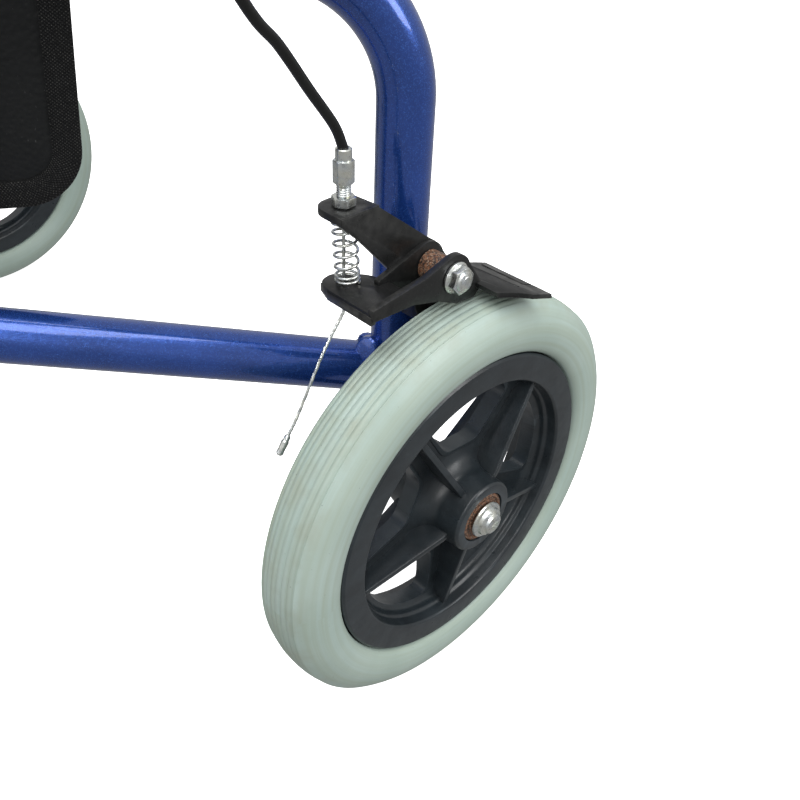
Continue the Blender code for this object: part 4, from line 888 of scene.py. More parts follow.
def knob_piece():
    """Star knob with eight lobes and a dished face."""
    base = on_frame(sleeve_s(KNOB_Z), KNOB_Z)
    bm = bmesh.new()
    steps = 96
    levels = [(0.0154, 0.0068), (0.0160, 0.0076), (0.0185, 0.0080), (0.0200, 0.0135), (0.0212, 0.0150),
              (0.0300, 0.0155), (0.0318, 0.0148), (0.0326, 0.0130), (0.0322, 0.0090), (0.0318, 0.0)]
    rings = []
    for h, r in levels:
        if r == 0:
            rings.append([bm.verts.new((0, 0, h))])
            continue
        lobe = 0.11 * max(0.0, min(1.0, (r - 0.0085) / 0.005))
        rings.append([bm.verts.new((r * (1 - lobe + lobe * math.cos(8 * math.tau * k / steps))
                                    * math.cos(math.tau * k / steps),
                                    r * (1 - lobe + lobe * math.cos(8 * math.tau * k / steps))
                                    * math.sin(math.tau * k / steps), h)) for k in range(steps)])
    for low, high in zip(rings, rings[1:]):
        for k in range(steps):
            face = list(dict.fromkeys([low[k], low[(k + 1) % steps], high[(k + 1) % steps % len(high)],
                                       high[k % len(high)]]))
            bm.faces.new(face)
    bm.faces.new(rings[0])
    bmesh.ops.recalc_face_normals(bm, faces=bm.faces)
    return stand(link("knob", bm), base, OUTWARD)


pair(knob_piece(), "star_knob_{t}", "black_plastic", "knob_{s}", ["height_knob_{t}"])

# ---------------------------------------------------------------- handles
grip_corner = on_frame(sleeve_s(GRIP_Z), GRIP_Z)
handle = tube("handle", corner_path(on_frame(sleeve_s(HANDLE_LOW), HANDLE_LOW), grip_corner,
                                    Vector((grip_corner.x, GRIP_END - 0.004, GRIP_Z)), 0.045, 24),
              TUBE_R, WALL, 56)
pair(handle, "handle_bar_{t}", "chrome", "handle_{s}", ["handle_tube_{t}"])


def grip_shell():
    start, end, inner = 0.021, GRIP_END, TUBE_R + 0.0003
    profile = [(0, end - 0.0033), (inner, end - 0.0033), (inner, start), (0.0164, start),
               (0.0170, start + 0.0006),
               (0.0170, start + 0.0030), (0.0152, start + 0.0048)]
    span = end - 0.010 - (start + 0.0060)
    for k in range(41):
        profile.append((0.01475 - 0.00075 * math.cos(math.tau * 4 * k / 40), start + 0.0060 + span * k / 40))
    profile += [(0.0153, end - 0.0070), (0.0152, end - 0.0030), (0.0140, end - 0.0010), (0.0110, end),
                (0, end)]
    return turned("grip", profile, (GRIP_X, 0, GRIP_Z), "Y", 64)


pair(grip_shell(), "hand_grip_{t}", "grip_rubber", "handle_{s}", ["grip_{t}"])

LEVER_AT = Vector((GRIP_X, 0.009, GRIP_Z - 0.024))
NOSE_AT = Vector((GRIP_X + 0.0158, -0.010, GRIP_Z - 0.006))


def lever_perch():
    """Clamp ring and cheeks that carry the hand lever and the cable end."""
    ring = turned("ring",
                  [(TUBE_R + 0.0003, 0.000), (0.0152, 0.000), (0.0152, 0.018), (TUBE_R + 0.0003, 0.018)],
                  (GRIP_X, 0, GRIP_Z), "Y", 56, 0.0006)
    cheek_outline = filleted([(0.0005, GRIP_Z - 0.0120), (0.0175, GRIP_Z - 0.0120),
                              (0.0175, GRIP_Z - 0.0285),
                              (0.0140, GRIP_Z - 0.0305), (0.0040, GRIP_Z - 0.0305),
                              (0.0005, GRIP_Z - 0.0285)],
                             0.0022, 4)
    body = plate("cheeks", cheek_outline, GRIP_X - 0.008, GRIP_X + 0.008, "YZ", 0.0007)
    nose = turned("nose", [(0, 0), (0.0047, 0), (0.0047, 0.012), (0.0040, 0.0195), (0, 0.0200)], NOSE_AT,
                  "Y",
                  32, 0.0006)
    screw = turned("screw", [(0, -0.0108), (0.0030, -0.0106), (0.0036, -0.0098), (0.0036, -0.0080),
                             (0.0021, -0.0080), (0.0021, 0.0080), (0.0036, 0.0080), (0.0036, 0.0098),
                             (0.0030, 0.0106), (0, 0.0108)], LEVER_AT, "X", 32)
    unite(ring, body, nose)
    slot_tool = plate("slot", [(-0.001, GRIP_Z - 0.0170), (0.020, GRIP_Z - 0.0170), (0.020, GRIP_Z - 0.034),
                               (-0.001, GRIP_Z - 0.034)], GRIP_X - 0.0042, GRIP_X + 0.0042, "YZ", 0)
    cut(ring, slot_tool, rod("hole", NOSE_AT, "Y", HOUSING_R + 0.0003, -0.002, 0.008, 0, 32))
    return unite(ring, screw)


pair(lever_perch(), "lever_clamp_{t}", "black_plastic", "handle_{s}", ["lever_mount_{t}"])


def hand_lever_piece():
    """Cast lever blade with a rounded back, following the grip."""
    y0, z0 = LEVER_AT.y, LEVER_AT.z
    under = smooth_path([(y0 - 0.004, z0 - 0.0035, 0), (y0 + 0.006, z0 - 0.0050, 0),
                         (y0 + 0.030, z0 - 0.0160, 0),
                         (y0 + 0.070, z0 - 0.0210, 0), (y0 + 0.098, z0 - 0.0200, 0),
                         (y0 + 0.104, z0 - 0.0160, 0)], 6)
    over = smooth_path([(y0 + 0.103, z0 - 0.0140, 0), (y0 + 0.096, z0 - 0.0155, 0),
                        (y0 + 0.070, z0 - 0.0165, 0),
                        (y0 + 0.030, z0 - 0.0113, 0), (y0 + 0.009, z0 + 0.001, 0),
                        (y0 + 0.003, z0 + 0.004, 0),
                        (y0 - 0.003, z0 + 0.004, 0)], 6)
    blade = plate("blade", [(p.x, p.y) for p in under + over], GRIP_X - 0.0038, GRIP_X + 0.0038, "YZ",
                  0.0011, 3)
    return cut(blade, rod("hole", LEVER_AT, "X", 0.0023, -0.02, 0.02, 0, 24))


pair(hand_lever_piece(), "brake_hand_lever_{t}", "black_paint", "hand_lever_{s}", ["hand_lever_{t}"])

# ---------------------------------------------------------------- rear brakes
def up(points):
    """Outlines in (y, z) from the axle, lifted to the floor's zero."""
    return [(y, z + WHEEL_R) for y, z in points]


def bracket_piece():
    """Stamped bracket: foot on the upright, sloping web and a folded cable tab."""
    arc = [(PIVOT_Y + 0.009 * math.cos(math.radians(a)), PIVOT_Z + 0.009 * math.sin(math.radians(a)))
           for a in range(-20, 74, 8)]
    outline = ([(-0.0150, 0.1050), (-0.0080, 0.0860), (0.0080, 0.0860), (0.0080, 0.1050)] + arc
               + [(-0.0330, TAB_TOP - 0.0004), (-0.0500, TAB_TOP - 0.0004), (-0.0502, TAB_TOP - 0.0030),
                  (-0.0410, 0.1335)])
    web = plate("web", up(outline), TRACK - 0.0183, TRACK - 0.0158, "YZ", 0)
    tab = plate("tab",
                filleted([(TRACK - 0.0160, -0.0505), (TRACK - 0.0318, -0.0505), (TRACK - 0.0318, -0.0338),
                                 (TRACK - 0.0160, -0.0325)], [0, 0.0075, 0.0045, 0], 6),
                WHEEL_R + TAB_TOP - 0.0028, WHEEL_R + TAB_TOP, "XY", 0)
    foot = plate("foot", up([(-0.0078, 0.0870), (0.0078, 0.0870), (0.0078, 0.1045), (-0.0078, 0.1045)]),
                 TRACK - 0.0270, TRACK - 0.0168, "YZ", 0)
    unite(web, tab, foot)
    cut(web, rod("seat", on_frame(0, 0), "Z", TUBE_R + 0.0002, 0.05, 0.26, 0, 64),
        rod("hole", near(0, PIVOT_Y, PIVOT_Z), "X", 0.0032, -0.03, 0.02, 0, 32),
        rod("hole", near(CABLE_X, CABLE_Y, 0), "Z", 0.0032, 0.12, 0.16, 0, 32))
    rivet = turned("rivet", [(0, 0), (0.0050, 0), (0.0048, 0.0012), (0.0030, 0.0022), (0, 0.0025)],
                   near(-0.0160, 0.0, 0.0950), "X", 32)
    return unite(soften(web, 0.0003, 2, 50), rivet)


pair(bracket_piece(), "brake_bracket_plate_{t}", "black_paint", "frame_{s}", ["brake_bracket_{t}"])


def ear_outline(reach):
    low = [(-reach, 0.1118), (-0.0300, 0.1112), (-0.0170, 0.1076), (-0.0060, 0.1026)]
    nose = [(0.0040, 0.1018), (0.0085, 0.1060)]
    arc = [(PIVOT_Y + 0.0088 * math.cos(math.radians(a)), PIVOT_Z + 0.0088 * math.sin(math.radians(a)))
           for a in range(20, 120, 10)]
    return up(low + nose + arc + [(-0.0240, 0.1195), (-reach, 0.1163)])


def shoe_plate():
    """Pressed shoe across the tread: creased, its far edge bent down to bite."""
    spine = [(0.0050, 0.1056), (0.0110, 0.1052), (0.0165, 0.1040), (0.0240, 0.1014), (0.0300, 0.0992)]
    thick = 0.0022
    outline = spine + [(y - 0.0006, z + thick) for y, z in reversed(spine)]
    low_x, high_x = TRACK - 0.0155, TRACK + 0.0190
    body = plate("shoe", up(outline), low_x, high_x, "YZ", 0)
    corner = plate("corner", [(high_x - 0.0090, 0.0030), (high_x + 0.002, 0.0030), (high_x + 0.002, 0.0200)],
                   0.15, 0.25, "XY", 0)
    cut(body, corner)
    lip = plate("lip", up([(0.0235, 0.1016), (0.0285, 0.0998), (0.0300, 0.0975), (0.0268, 0.0990)]),
                TRACK - 0.0130, TRACK + 0.0090, "YZ", 0)
    lip.data.transform(Matrix.Translation((0, 0, 0.0022)))
    crease = tube("crease", [Vector((low_x + 0.003, 0.0150, WHEEL_R + 0.1056)),
                             Vector((high_x - 0.008, 0.0175, WHEEL_R + 0.1049))], 0.0011, 0, 16)
    return unite(body, lip, crease)


def brake_lever_piece():
    """Two ears on the pivot, a folded foot that the wire pulls, and the shoe."""
    outer = plate("outer", filleted(ear_outline(0.0500), 0.0008, 2), TRACK - 0.0026, TRACK + 0.0003, "YZ", 0)
    inner = plate("inner", filleted(ear_outline(0.0340), 0.0008, 2), TRACK - 0.0163, TRACK - 0.0137, "YZ", 0)
    foot = plate("foot",
                 filleted([(TRACK - 0.0004, -0.0500), (TRACK - 0.0004, -0.0290), (TRACK - 0.0140, -0.0290),
                                   (TRACK - 0.0230, -0.0310), (TRACK - 0.0325, -0.0410),
                                   (TRACK - 0.0305, -0.0480), (TRACK - 0.0240, -0.0497)],
                                  [0.001, 0.001, 0.002, 0.003, 0.003, 0.004, 0.003], 5),
                 WHEEL_R + FOOT_Z, WHEEL_R + FOOT_Z + 0.0030, "XY", 0)
    lip = plate("lip", [(TRACK - 0.0006, -0.0503), (TRACK - 0.0006, -0.0480), (TRACK - 0.0240, -0.0472),
                        (TRACK - 0.0300, -0.0452), (TRACK - 0.0312, -0.0470), (TRACK - 0.0240, -0.0498)],
                WHEEL_R + FOOT_Z - 0.0014, WHEEL_R + FOOT_Z + 0.0018, "XY", 0)
    bridge = plate("bridge", up([(0.0035, 0.1040), (0.0090, 0.1046), (0.0090, 0.1068), (0.0035, 0.1066)]),
                   TRACK - 0.0160, TRACK + 0.0002, "YZ", 0)
    unite(outer, inner, foot, lip, bridge, shoe_plate())
    return cut(soften(outer, 0.0004, 2, 50),
               rod("hole", near(0, PIVOT_Y, PIVOT_Z), "X", 0.0032, -0.03, 0.02, 0, 32),
               rod("hole", near(CABLE_X, CABLE_Y, 0), "Z", 0.0020, 0.09, 0.13, 0, 24))


pair(brake_lever_piece(), "brake_shoe_lever_{t}", "black_paint", "brake_{s}", ["brake_lever_{t}"])

pivot_at = near(0, PIVOT_Y, PIVOT_Z)
pin = turned("pin",
             [(0, -0.0236), (0.0030, -0.0236), (0.0046, -0.0226), (0.0050, -0.0206), (0.0030, -0.0206),
                     (0.0030, 0.0062), (0.0024, 0.0068), (0, 0.0068)], pivot_at, "X", 40, 0.0002)
flange = turned("flange", [(0, 0.0006), (0.0062, 0.0006), (0.0063, 0.0014), (0.0056, 0.0022), (0, 0.0024)],
                pivot_at, "X", 40)
unite(pin, flange, hexagon("nut", pivot_at, "X", 0.0098, 0.0016, 0.0052, 0.2),
      turned("dome", [(0, 0.0048), (0.0042, 0.0048), (0.0038, 0.0061), (0.0026, 0.0066), (0, 0.0066)],
             pivot_at,
             "X", 32))
pair(pin, "brake_pivot_nut_{t}", "zinc", "frame_{s}", ["brake_pivot_bolt_{t}"])
bush = turned("bush", [(0.0034, -0.0132), (0.0060, -0.0132), (0.0060, -0.0034), (0.0034, -0.0034)],
              pivot_at, "X",
              40, 0.0004)
pair(bush, "brake_pivot_bush_{t}", "bronze", "frame_{s}")

cable_axis = near(CABLE_X, CABLE_Y, 0)


def threads(low, high, radius, pitch=0.0008, depth=0.0003):
    """Outline of a threaded stretch."""
    out, at = [], low
    while at < high - pitch:
        out += [(radius - depth, at), (radius, at + pitch * 0.45), (radius, at + pitch * 0.60)]
        at += pitch
    return out


def adjuster_piece():
    """Barrel adjuster: threaded stem through the tab, hexagon barrel, swaged ferrule."""
    bore = 0.0012
    stem = [(bore, 0.1385), (0.0023, 0.1385)] + threads(0.1390, 0.1540, 0.0026) + [(0.0023, 0.1545)]
    top = [(0.0026, 0.1600), (0.0029, 0.1618), (0.0029, 0.1652), (0.0026, 0.1655), (bore, 0.1655)]
    body = turned("stem", [(r, z) for r, z in stem + top], cable_axis, "Z", 40)
    barrel = hexagon("barrel", cable_axis, "Z", 0.0067, 0.1532, 0.1615, 0.35)
    nut = hexagon("nut", cable_axis, "Z", 0.0078, TAB_TOP + 0.0003, TAB_TOP + 0.0036, 0.1)
    unite(body, barrel, nut)
    return cut(body, rod("bore", cable_axis, "Z", bore, 0.13, 0.17, 0, 24))


pair(adjuster_piece(), "barrel_adjuster_{t}", "zinc", "frame_{s}", ["cable_adjuster_{t}"])


def spring_piece():
    """Compression spring: two close coils low down, open coils above, ground ends."""
    coil_r, wire_r, turns, per_turn = 0.0043, 0.00055, 7.6, 28
    low = FOOT_Z + 0.0030 + 0.0003 + wire_r
    high = TAB_TOP - 0.0028 - 0.0003 - wire_r
    stops = [(0.0, low), (1.0, low + 0.0015), (1.9, low + 0.0032), (6.2, high - 0.0034),
             (7.1, high - 0.0012),
             (turns, high)]
    path = []
    for k in range(int(turns * per_turn) + 1):
        t = k / per_turn
        for (t0, z0), (t1, z1) in zip(stops, stops[1:]):
            if t <= t1 + 1e-9:
                height = z0 + (z1 - z0) * (t - t0) / (t1 - t0)
                break
        angle = math.tau * t + 0.6
        lean = 0.0010 * (high - height) / (high - low)
        path.append(cable_axis + Vector((coil_r * math.cos(angle) + lean, coil_r * math.sin(angle) + lean,
                                         height)))
    return tube("spring", path, wire_r, 0, 12)


for spring, side_name in zip(pair(spring_piece(), "return_spring_{t}", "zinc", None, ["brake_spring_{t}"]),
                             ("left", "right")):
    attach(spring, "frame_" + side_name)
    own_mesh(spring)

TAIL = [(-0.0420, 0.1026), (-0.0480, 0.0945), (-0.0540, 0.0858), (-0.0656, 0.0654), (-0.0714, 0.0572)]


def inner_wire_piece():
    """Stranded brake wire with its clamp under the foot, and the crimped tail."""
    route = smooth_path([near(CABLE_X, CABLE_Y, 0.1640), near(CABLE_X, CABLE_Y, 0.1450),
                         near(CABLE_X, CABLE_Y, 0.1200), near(CABLE_X, CABLE_Y, 0.1080)]
                        + [near(CABLE_X, y, z) for y, z in TAIL], 8)
    strands = []
    for s in range(3):
        path = []
        for k, (point, side, top, _) in enumerate(spun(route)):
            a = 1.15 * k + math.tau * s / 3
            path.append(point + (side * math.cos(a) + top * math.sin(a)) * 0.00030)
        strands.append(tube("strand", path, 0.00042, 0, 8))
    end = near(CABLE_X, *TAIL[-1])
    way = (end - near(CABLE_X, *TAIL[-2])).normalized()
    crimp = turned("crimp",
                   [(0, -0.0012), (0.0009, -0.0012), (0.0013, -0.0004), (0.0012, 0.0010), (0.0016, 0.0016),
                             (0.0014, 0.0046), (0.0015, 0.0066), (0.0010, 0.0074), (0, 0.0075)], end, way,
                             24)
    crimp_two = turned("stop", [(0, FOOT_Z - 0.0062), (0.0026, FOOT_Z - 0.0062), (0.0030, FOOT_Z - 0.0056),
                                (0.0030, FOOT_Z - 0.0026), (0.0026, FOOT_Z - 0.0020), (0, FOOT_Z - 0.0020)],
                       cable_axis, "Z", 24)
    joined = strands[0]
    bm = bmesh.new()
    for piece in strands + [crimp, crimp_two]:
        bm.from_mesh(piece.data)
    for piece in strands[1:] + [crimp, crimp_two]:
        bpy.data.objects.remove(piece, do_unlink=True)
    bm.to_mesh(joined.data)
    bm.free()
    return joined


pair(inner_wire_piece(), "brake_inner_wire_{t}", "zinc", "brake_{s}", ["brake_wire_{t}"])

# The housing's own route, the same points as the CAD model's.
housing_points = [near(CABLE_X, CABLE_Y, 0.1650), near(CABLE_X, -0.0462, 0.1740),
                  near(CABLE_X, -0.0560, 0.1870),
                  near(CABLE_X, -0.0670, 0.2020), near(CABLE_X, -0.0790, 0.2160),
                  near(CABLE_X - 0.001, -0.1050, 0.2600), near(CABLE_X - 0.006, -0.1250, 0.3400),
                  near(CABLE_X - 0.014, -0.1220, 0.4600), near(CABLE_X - 0.023, -0.1020, 0.5800),
                  Vector((NOSE_AT.x + 0.001, -0.0820, GRIP_Z - 0.110)),
                  Vector((NOSE_AT.x + 0.001, -0.0600, GRIP_Z - 0.045)),
                  Vector((NOSE_AT.x, -0.0350, GRIP_Z - 0.012)), NOSE_AT - Vector((0, 0.006, 0))]
housing_path = smooth_path(housing_points, 8) + [NOSE_AT + Vector((0, 0.0070, 0))]
housings = pair(tube("housing", housing_path, COVER_R, 0, 32), "brake_cable_{t}", "cable_black", None,
                ["cable_housing_{t}"])
for piece, side_name, sign in zip(housings, ("left", "right"), (1, -1)):
    start = near(CABLE_X, CABLE_Y + SHIFT, 0.19)
    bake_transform(piece)

# ---------------------------------------------------------------- front column, castor and fold linkage
column = turned("column", [(0.0130, column_low.z), (COLUMN_R, column_low.z), (COLUMN_R, column_high.z),
                           (0.0130, column_high.z)], (0, COLUMN_Y, 0), "Z", 64, 0.0005)
rings = [weld_bead("bead", (0, COLUMN_Y, z), (0, 0, 1), COLUMN_R + 0.0003, 0.0018, 24)
         for z in (PLATE_LOW + 0.0052, PLATE_UP - 0.0012)]
place(unite(column, *rings), "steering_column", "frame_paint", "column", ["front_column"])
bush_low, bush_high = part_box("castor_bush")
place(turned("bush", [(0.00625, bush_low.z), (0.0152, bush_low.z), (0.0152, bush_low.z + 0.0025),
                      (0.0127, bush_low.z + 0.0025), (0.0127, bush_high.z), (0.00625, bush_high.z)],
             (0, COLUMN_Y, 0), "Z", 56, 0.0003), "steering_bush", "black_plastic", "column", ["castor_bush"])
cap_low, cap_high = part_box("column_cap")
cap = [(0, cap_low.z), (0.0125, cap_low.z), (0.0125, column_high.z + 0.0003),
       (0.0170, column_high.z + 0.0003),
       (0.0170, column_high.z + 0.0042), (0.0150, column_high.z + 0.0068), (0.0115, cap_high.z),
       (0.0060, cap_high.z), (0.0050, cap_high.z - 0.0008), (0, cap_high.z - 0.0010)]
place(turned("cap", cap, (0, COLUMN_Y, 0), "Z", 64, 0.0006), "column_end_cap", "black_plastic", "column",
      ["column_cap"])


def head_plate_piece(low):
    """Pressed hinge plate between the column and the two side frames."""
    reach = 0.013
    outline = [(-POST_X - reach, POST_Y + reach * 0.7), (-POST_X - reach, POST_Y - reach * 0.6),
               (-COLUMN_R - 0.008, COLUMN_Y - 0.010), (-0.012, COLUMN_Y - COLUMN_R - 0.008),
               (0.012, COLUMN_Y - COLUMN_R - 0.008), (COLUMN_R + 0.008, COLUMN_Y - 0.010),
               (POST_X + reach, POST_Y - reach * 0.6), (POST_X + reach, POST_Y + reach * 0.7)]
    made = plate("plate", filleted(outline, 0.010, 8), low, low + PLATE_T, "XY", 0.0009, 3)
    tools = [rod("hole", (0, COLUMN_Y, 0), "Z", COLUMN_R + 0.0002, low - 0.01, low + 0.014, 0, 64)]
    tools += [rod("hole", (POST_X * sign, POST_Y, 0), "Z", 0.0043, low - 0.01, low + 0.014, 0, 32)
              for sign in (1, -1)]
    window = filleted([(-0.016, COLUMN_Y + 0.026), (0.016, COLUMN_Y + 0.026), (0.012, COLUMN_Y + 0.040),
                       (-0.012, COLUMN_Y + 0.040)], 0.004, 5)
    tools.append(plate("window", window, low - 0.01, low + 0.014, "XY", 0))
    return cut(made, *tools)


place(head_plate_piece(PLATE_LOW), "hinge_plate_lower", "frame_paint", "column", ["head_plate_lower"])
place(head_plate_piece(PLATE_UP), "hinge_plate_upper", "frame_paint", "column", ["head_plate_upper"])

top = PLATE_UP + PLATE_T
bolt = turned("bolt", [(0, PLATE_LOW - 0.0043), (0.0040, PLATE_LOW - 0.0043), (0.0066, PLATE_LOW - 0.0030),
                       (0.0072, PLATE_LOW - 0.0003), (0.0040, PLATE_LOW - 0.0003)]
              + [(0.0040, top + 0.0002)] + threads(top + 0.0060, top + 0.0085, 0.0040)
              + [(0.0032, top + 0.0088), (0, top + 0.0088)], (POST_X, POST_Y, 0), "Z", 40)
washer = turned("washer", [(0.0040, top + 0.0002), (0.0078, top + 0.0002), (0.0078, top + 0.0012),
                           (0.0040, top + 0.0012)], (POST_X, POST_Y, 0), "Z", 40, 0.0002)
unite(bolt, hexagon("nut", (POST_X, POST_Y, 0), "Z", 0.0125, top + 0.0008, top + 0.0068, 0.3), washer)
pair(bolt, "hinge_bolt_and_nut_{t}", "zinc", "column", ["hinge_bolt_{t}"])

CROWN_TOP = bush_low.z - 0.0003
CROWN_Z = CROWN_TOP - 0.004
ARM_X = 0.027
TRAIL = castor_point.y - COLUMN_Y
hub_y = COLUMN_Y + TRAIL
arm_outline = [(COLUMN_Y - 0.017, CROWN_TOP), (COLUMN_Y + 0.017, CROWN_TOP),
               (hub_y + 0.013, WHEEL_R + 0.030),
               (hub_y + 0.013, WHEEL_R - 0.006), (hub_y + 0.006, WHEEL_R - 0.014),
               (hub_y - 0.006, WHEEL_R - 0.014), (hub_y - 0.013, WHEEL_R - 0.006),
               (hub_y - 0.018, WHEEL_R + 0.030)]
arm_outline = filleted(arm_outline, [0.001, 0.001, 0.012, 0.008, 0.006, 0.006, 0.008, 0.012], 6)
fork = plate("crown", [(-ARM_X, COLUMN_Y - 0.017), (ARM_X, COLUMN_Y - 0.017), (ARM_X, COLUMN_Y + 0.017),
                       (-ARM_X, COLUMN_Y + 0.017)], CROWN_Z, CROWN_TOP, "XY", 0.0006)
arms = [plate("arm", arm_outline, ARM_X - 0.001, ARM_X + 0.0025, "YZ", 0.0008, 3),
        plate("arm", arm_outline, -ARM_X - 0.0025, -ARM_X + 0.001, "YZ", 0.0008, 3)]
unite(fork, *arms, rod("stem", (0, COLUMN_Y, 0), "Z", 0.0060, CROWN_Z + 0.001, 0.2895, 0.0005, 48))
cut(fork, rod("hole", castor_point, "X", 0.0043, -0.04, 0.04, 0, 32))
place(fork, "front_fork", "frame_paint", "castor", ["castor_fork"])

guide_low, guide_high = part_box("fold_guide_bar")
guide = plate("guide", [(guide_low.x, guide_low.y - SHIFT), (guide_high.x, guide_low.y - SHIFT),
                        (guide_high.x, guide_high.y - SHIFT), (guide_low.x, guide_high.y - SHIFT)],
              guide_low.z, guide_high.z, "XY", 0.0008, 3)
place(guide, "slide_bar", "black_paint", "column", ["fold_guide_bar"])
guide_z = (guide_low.z + guide_high.z) / 2
block = plate("block",
              filleted([(-0.017, SLIDER_Y - 0.010), (0.017, SLIDER_Y - 0.010), (0.017, SLIDER_Y + 0.010),
                                 (-0.017, SLIDER_Y + 0.010)], 0.003, 5), guide_z - 0.0085, guide_z + 0.0070,
              "XY", 0.0009, 3)
cut(block,
    plate("channel", [(-0.0065, SLIDER_Y - 0.03), (0.0065, SLIDER_Y - 0.03), (0.0065, SLIDER_Y + 0.03),
                             (-0.0065, SLIDER_Y + 0.03)], guide_z - 0.0035, guide_z + 0.0035, "XY", 0))
PIN_X = 0.0095
pins = [turned("pin", [(0, slider_low.z), (0.0020, slider_low.z), (0.0022, slider_low.z + 0.0003),
                       (0.0022, guide_z - 0.0080), (0, guide_z - 0.0080)], (PIN_X * sign, SLIDER_Y, 0), "Z",
                       24)
        for sign in (1, -1)]
place(unite(block, *pins), "slide_block", "black_plastic", "slider", ["fold_slider"])

run = Vector((PIN_X, SLIDER_Y)) - Vector((link_at.x, link_at.y))
outline = []
for centre, start, grow in ((0.0, math.pi / 2, 0.0065), (run.length, -math.pi / 2, 0.0078)):
    outline += [(centre + grow * math.cos(start + math.pi * k / 16),
                 grow * math.sin(start + math.pi * k / 16))
                for k in range(17)]
bar = plate("link", outline, link_low, link_top, "XY", 0.0005, 2)
cut(bar, rod("eye", (0, 0, 0), "Z", 0.0031, 0.1, 0.3, 0, 32),
    rod("slot", (run.length, 0, 0), "Z", 0.0044, 0.1, 0.3, 0, 32))
bar.data.transform(Matrix.Translation((link_at.x, link_at.y, 0))
                   @ Matrix.Rotation(math.atan2(run.y, run.x), 4, "Z"))
pair(bar, "fold_strut_{t}", "zinc", "link_{s}", ["fold_link_{t}"])

# ---------------------------------------------------------------- bag
PANEL = (BAG_FRONT - BAG_BACK).normalized()
PANEL_LEN = (BAG_FRONT - BAG_BACK).length
PANEL_OUT = Vector((-PANEL.y, PANEL.x)) if -PANEL.y > 0 else Vector((PANEL.y, -PANEL.x))
BAG_H = BAG_TOP - BAG_BOTTOM


def pulled_in(height):
    """How far the panel's rounded bottom corners pull its ends in at a height over the bottom."""
    if height >= BAG_CORNER:
        return 0.0
    return BAG_CORNER - math.sqrt(max(0.0, BAG_CORNER ** 2 - (BAG_CORNER - height) ** 2))


def slack(point, amount=1.0):
    """Soft folds of hanging cloth, the same at each run."""
    broad = noise.noise(Vector((point.x * 16, point.y * 16, point.z * 11)))
    fine = noise.noise(Vector((point.x * 45 + 3, point.y * 45, point.z * 26)))
    return amount * (0.0030 * broad + 0.0010 * fine)


def flare(height):
    """The back corner leans outwards as the bag opens towards its mouth."""
    return Vector((0.0009 + 0.052 * height, 0.0014 + 0.080 * height))


def bag_level(height):
    """Half outline of the bag at one height, from the middle of the back to the middle of the front."""
    inset = pulled_in(height)
    full = min(1.0, height / BAG_H)
    belly = math.sin(math.pi * min(1.0, full * 0.9 + 0.12)) * 0.0045
    back, front = BAG_BACK + flare(height) + PANEL * inset, BAG_FRONT - PANEL * inset
    out = []
    for k in range(13):
        out.append(Vector((back.x * k / 12, back.y + belly * 0.8 * (1 - (k / 12) ** 4), 0)))
    for k in range(1, 17):
        t = k / 16
        swell = belly * math.sin(math.pi * t) ** 0.8
        spot_on = back + (front - back) * t + PANEL_OUT * swell
        out.append(Vector((spot_on.x, spot_on.y, 0)))
    for k in range(1, 7):
        out.append(Vector((front.x * (1 - k / 6), front.y - belly * 0.6 * (1 - (1 - k / 6) ** 4), 0)))
    dip = 0.0045 * (1 - abs(2 * full - 1)) if full > 0.5 else 0.0
    for point in out:
        point.z = BAG_BOTTOM + height - dip
    return out


def bag_shell():
    """Lofted pouch with hanging slack, an open hemmed mouth and a wall of cloth."""
    bm = bmesh.new()
    heights = [0.0, 0.0015, 0.004, 0.008, 0.013,
               0.019] + [0.026 + (BAG_H - 0.026) * k / 14 for k in range(15)]
    rings = []
    for height in heights:
        half = bag_level(height)
        loop = half + [Vector((-p.x, p.y, p.z)) for p in reversed(half[1:-1])]
        if height == heights[-1]:
            for p in loop:
                p.z -= 0.0040 * (1 - math.cos(p.x * 55)) * 0.5
        ring = []
        middle = Vector((0, (BAG_BACK.y + BAG_FRONT.y) / 2, loop[0].z))
        for p in loop:
            away = (p - middle).normalized()
            grow = slack(p, 0.35 if height < 0.02 else 1.0)
            ring.append(bm.verts.new(p + away * grow))
        rings.append(ring)
    for low, high in zip(rings, rings[1:]):
        for k in range(len(low)):
            n = (k + 1) % len(low)
            bm.faces.new([low[k], low[n], high[n], high[k]])
    base = [rings[0]]
    centre_y = sum(v.co.y for v in rings[0]) / len(rings[0])
    for share in (0.75, 0.5, 0.25):
        ring = []
        for v in rings[0]:
            p = Vector((v.co.x * share, centre_y + (v.co.y - centre_y) * share, v.co.z))
            p.z -= 0.0050 * (1 - share ** 2) - slack(p, 0.6)
            ring.append(bm.verts.new(p))
        base.append(ring)
    for low, high in zip(base, base[1:]):
        for k in range(len(low)):
            n = (k + 1) % len(low)
            bm.faces.new([high[k], high[n], low[n], low[k]])
    bm.faces.new(base[-1])
    bmesh.ops.recalc_face_normals(bm, faces=bm.faces)
    shell = link("bag_shell", bm)
    wall = shell.modifiers.new("wall", "SOLIDIFY")
    wall.thickness = 0.0022
    wall.offset = -1
    finer = shell.modifiers.new("finer", "SUBSURF")
    finer.levels = finer.render_levels = 1
    return applied(shell)


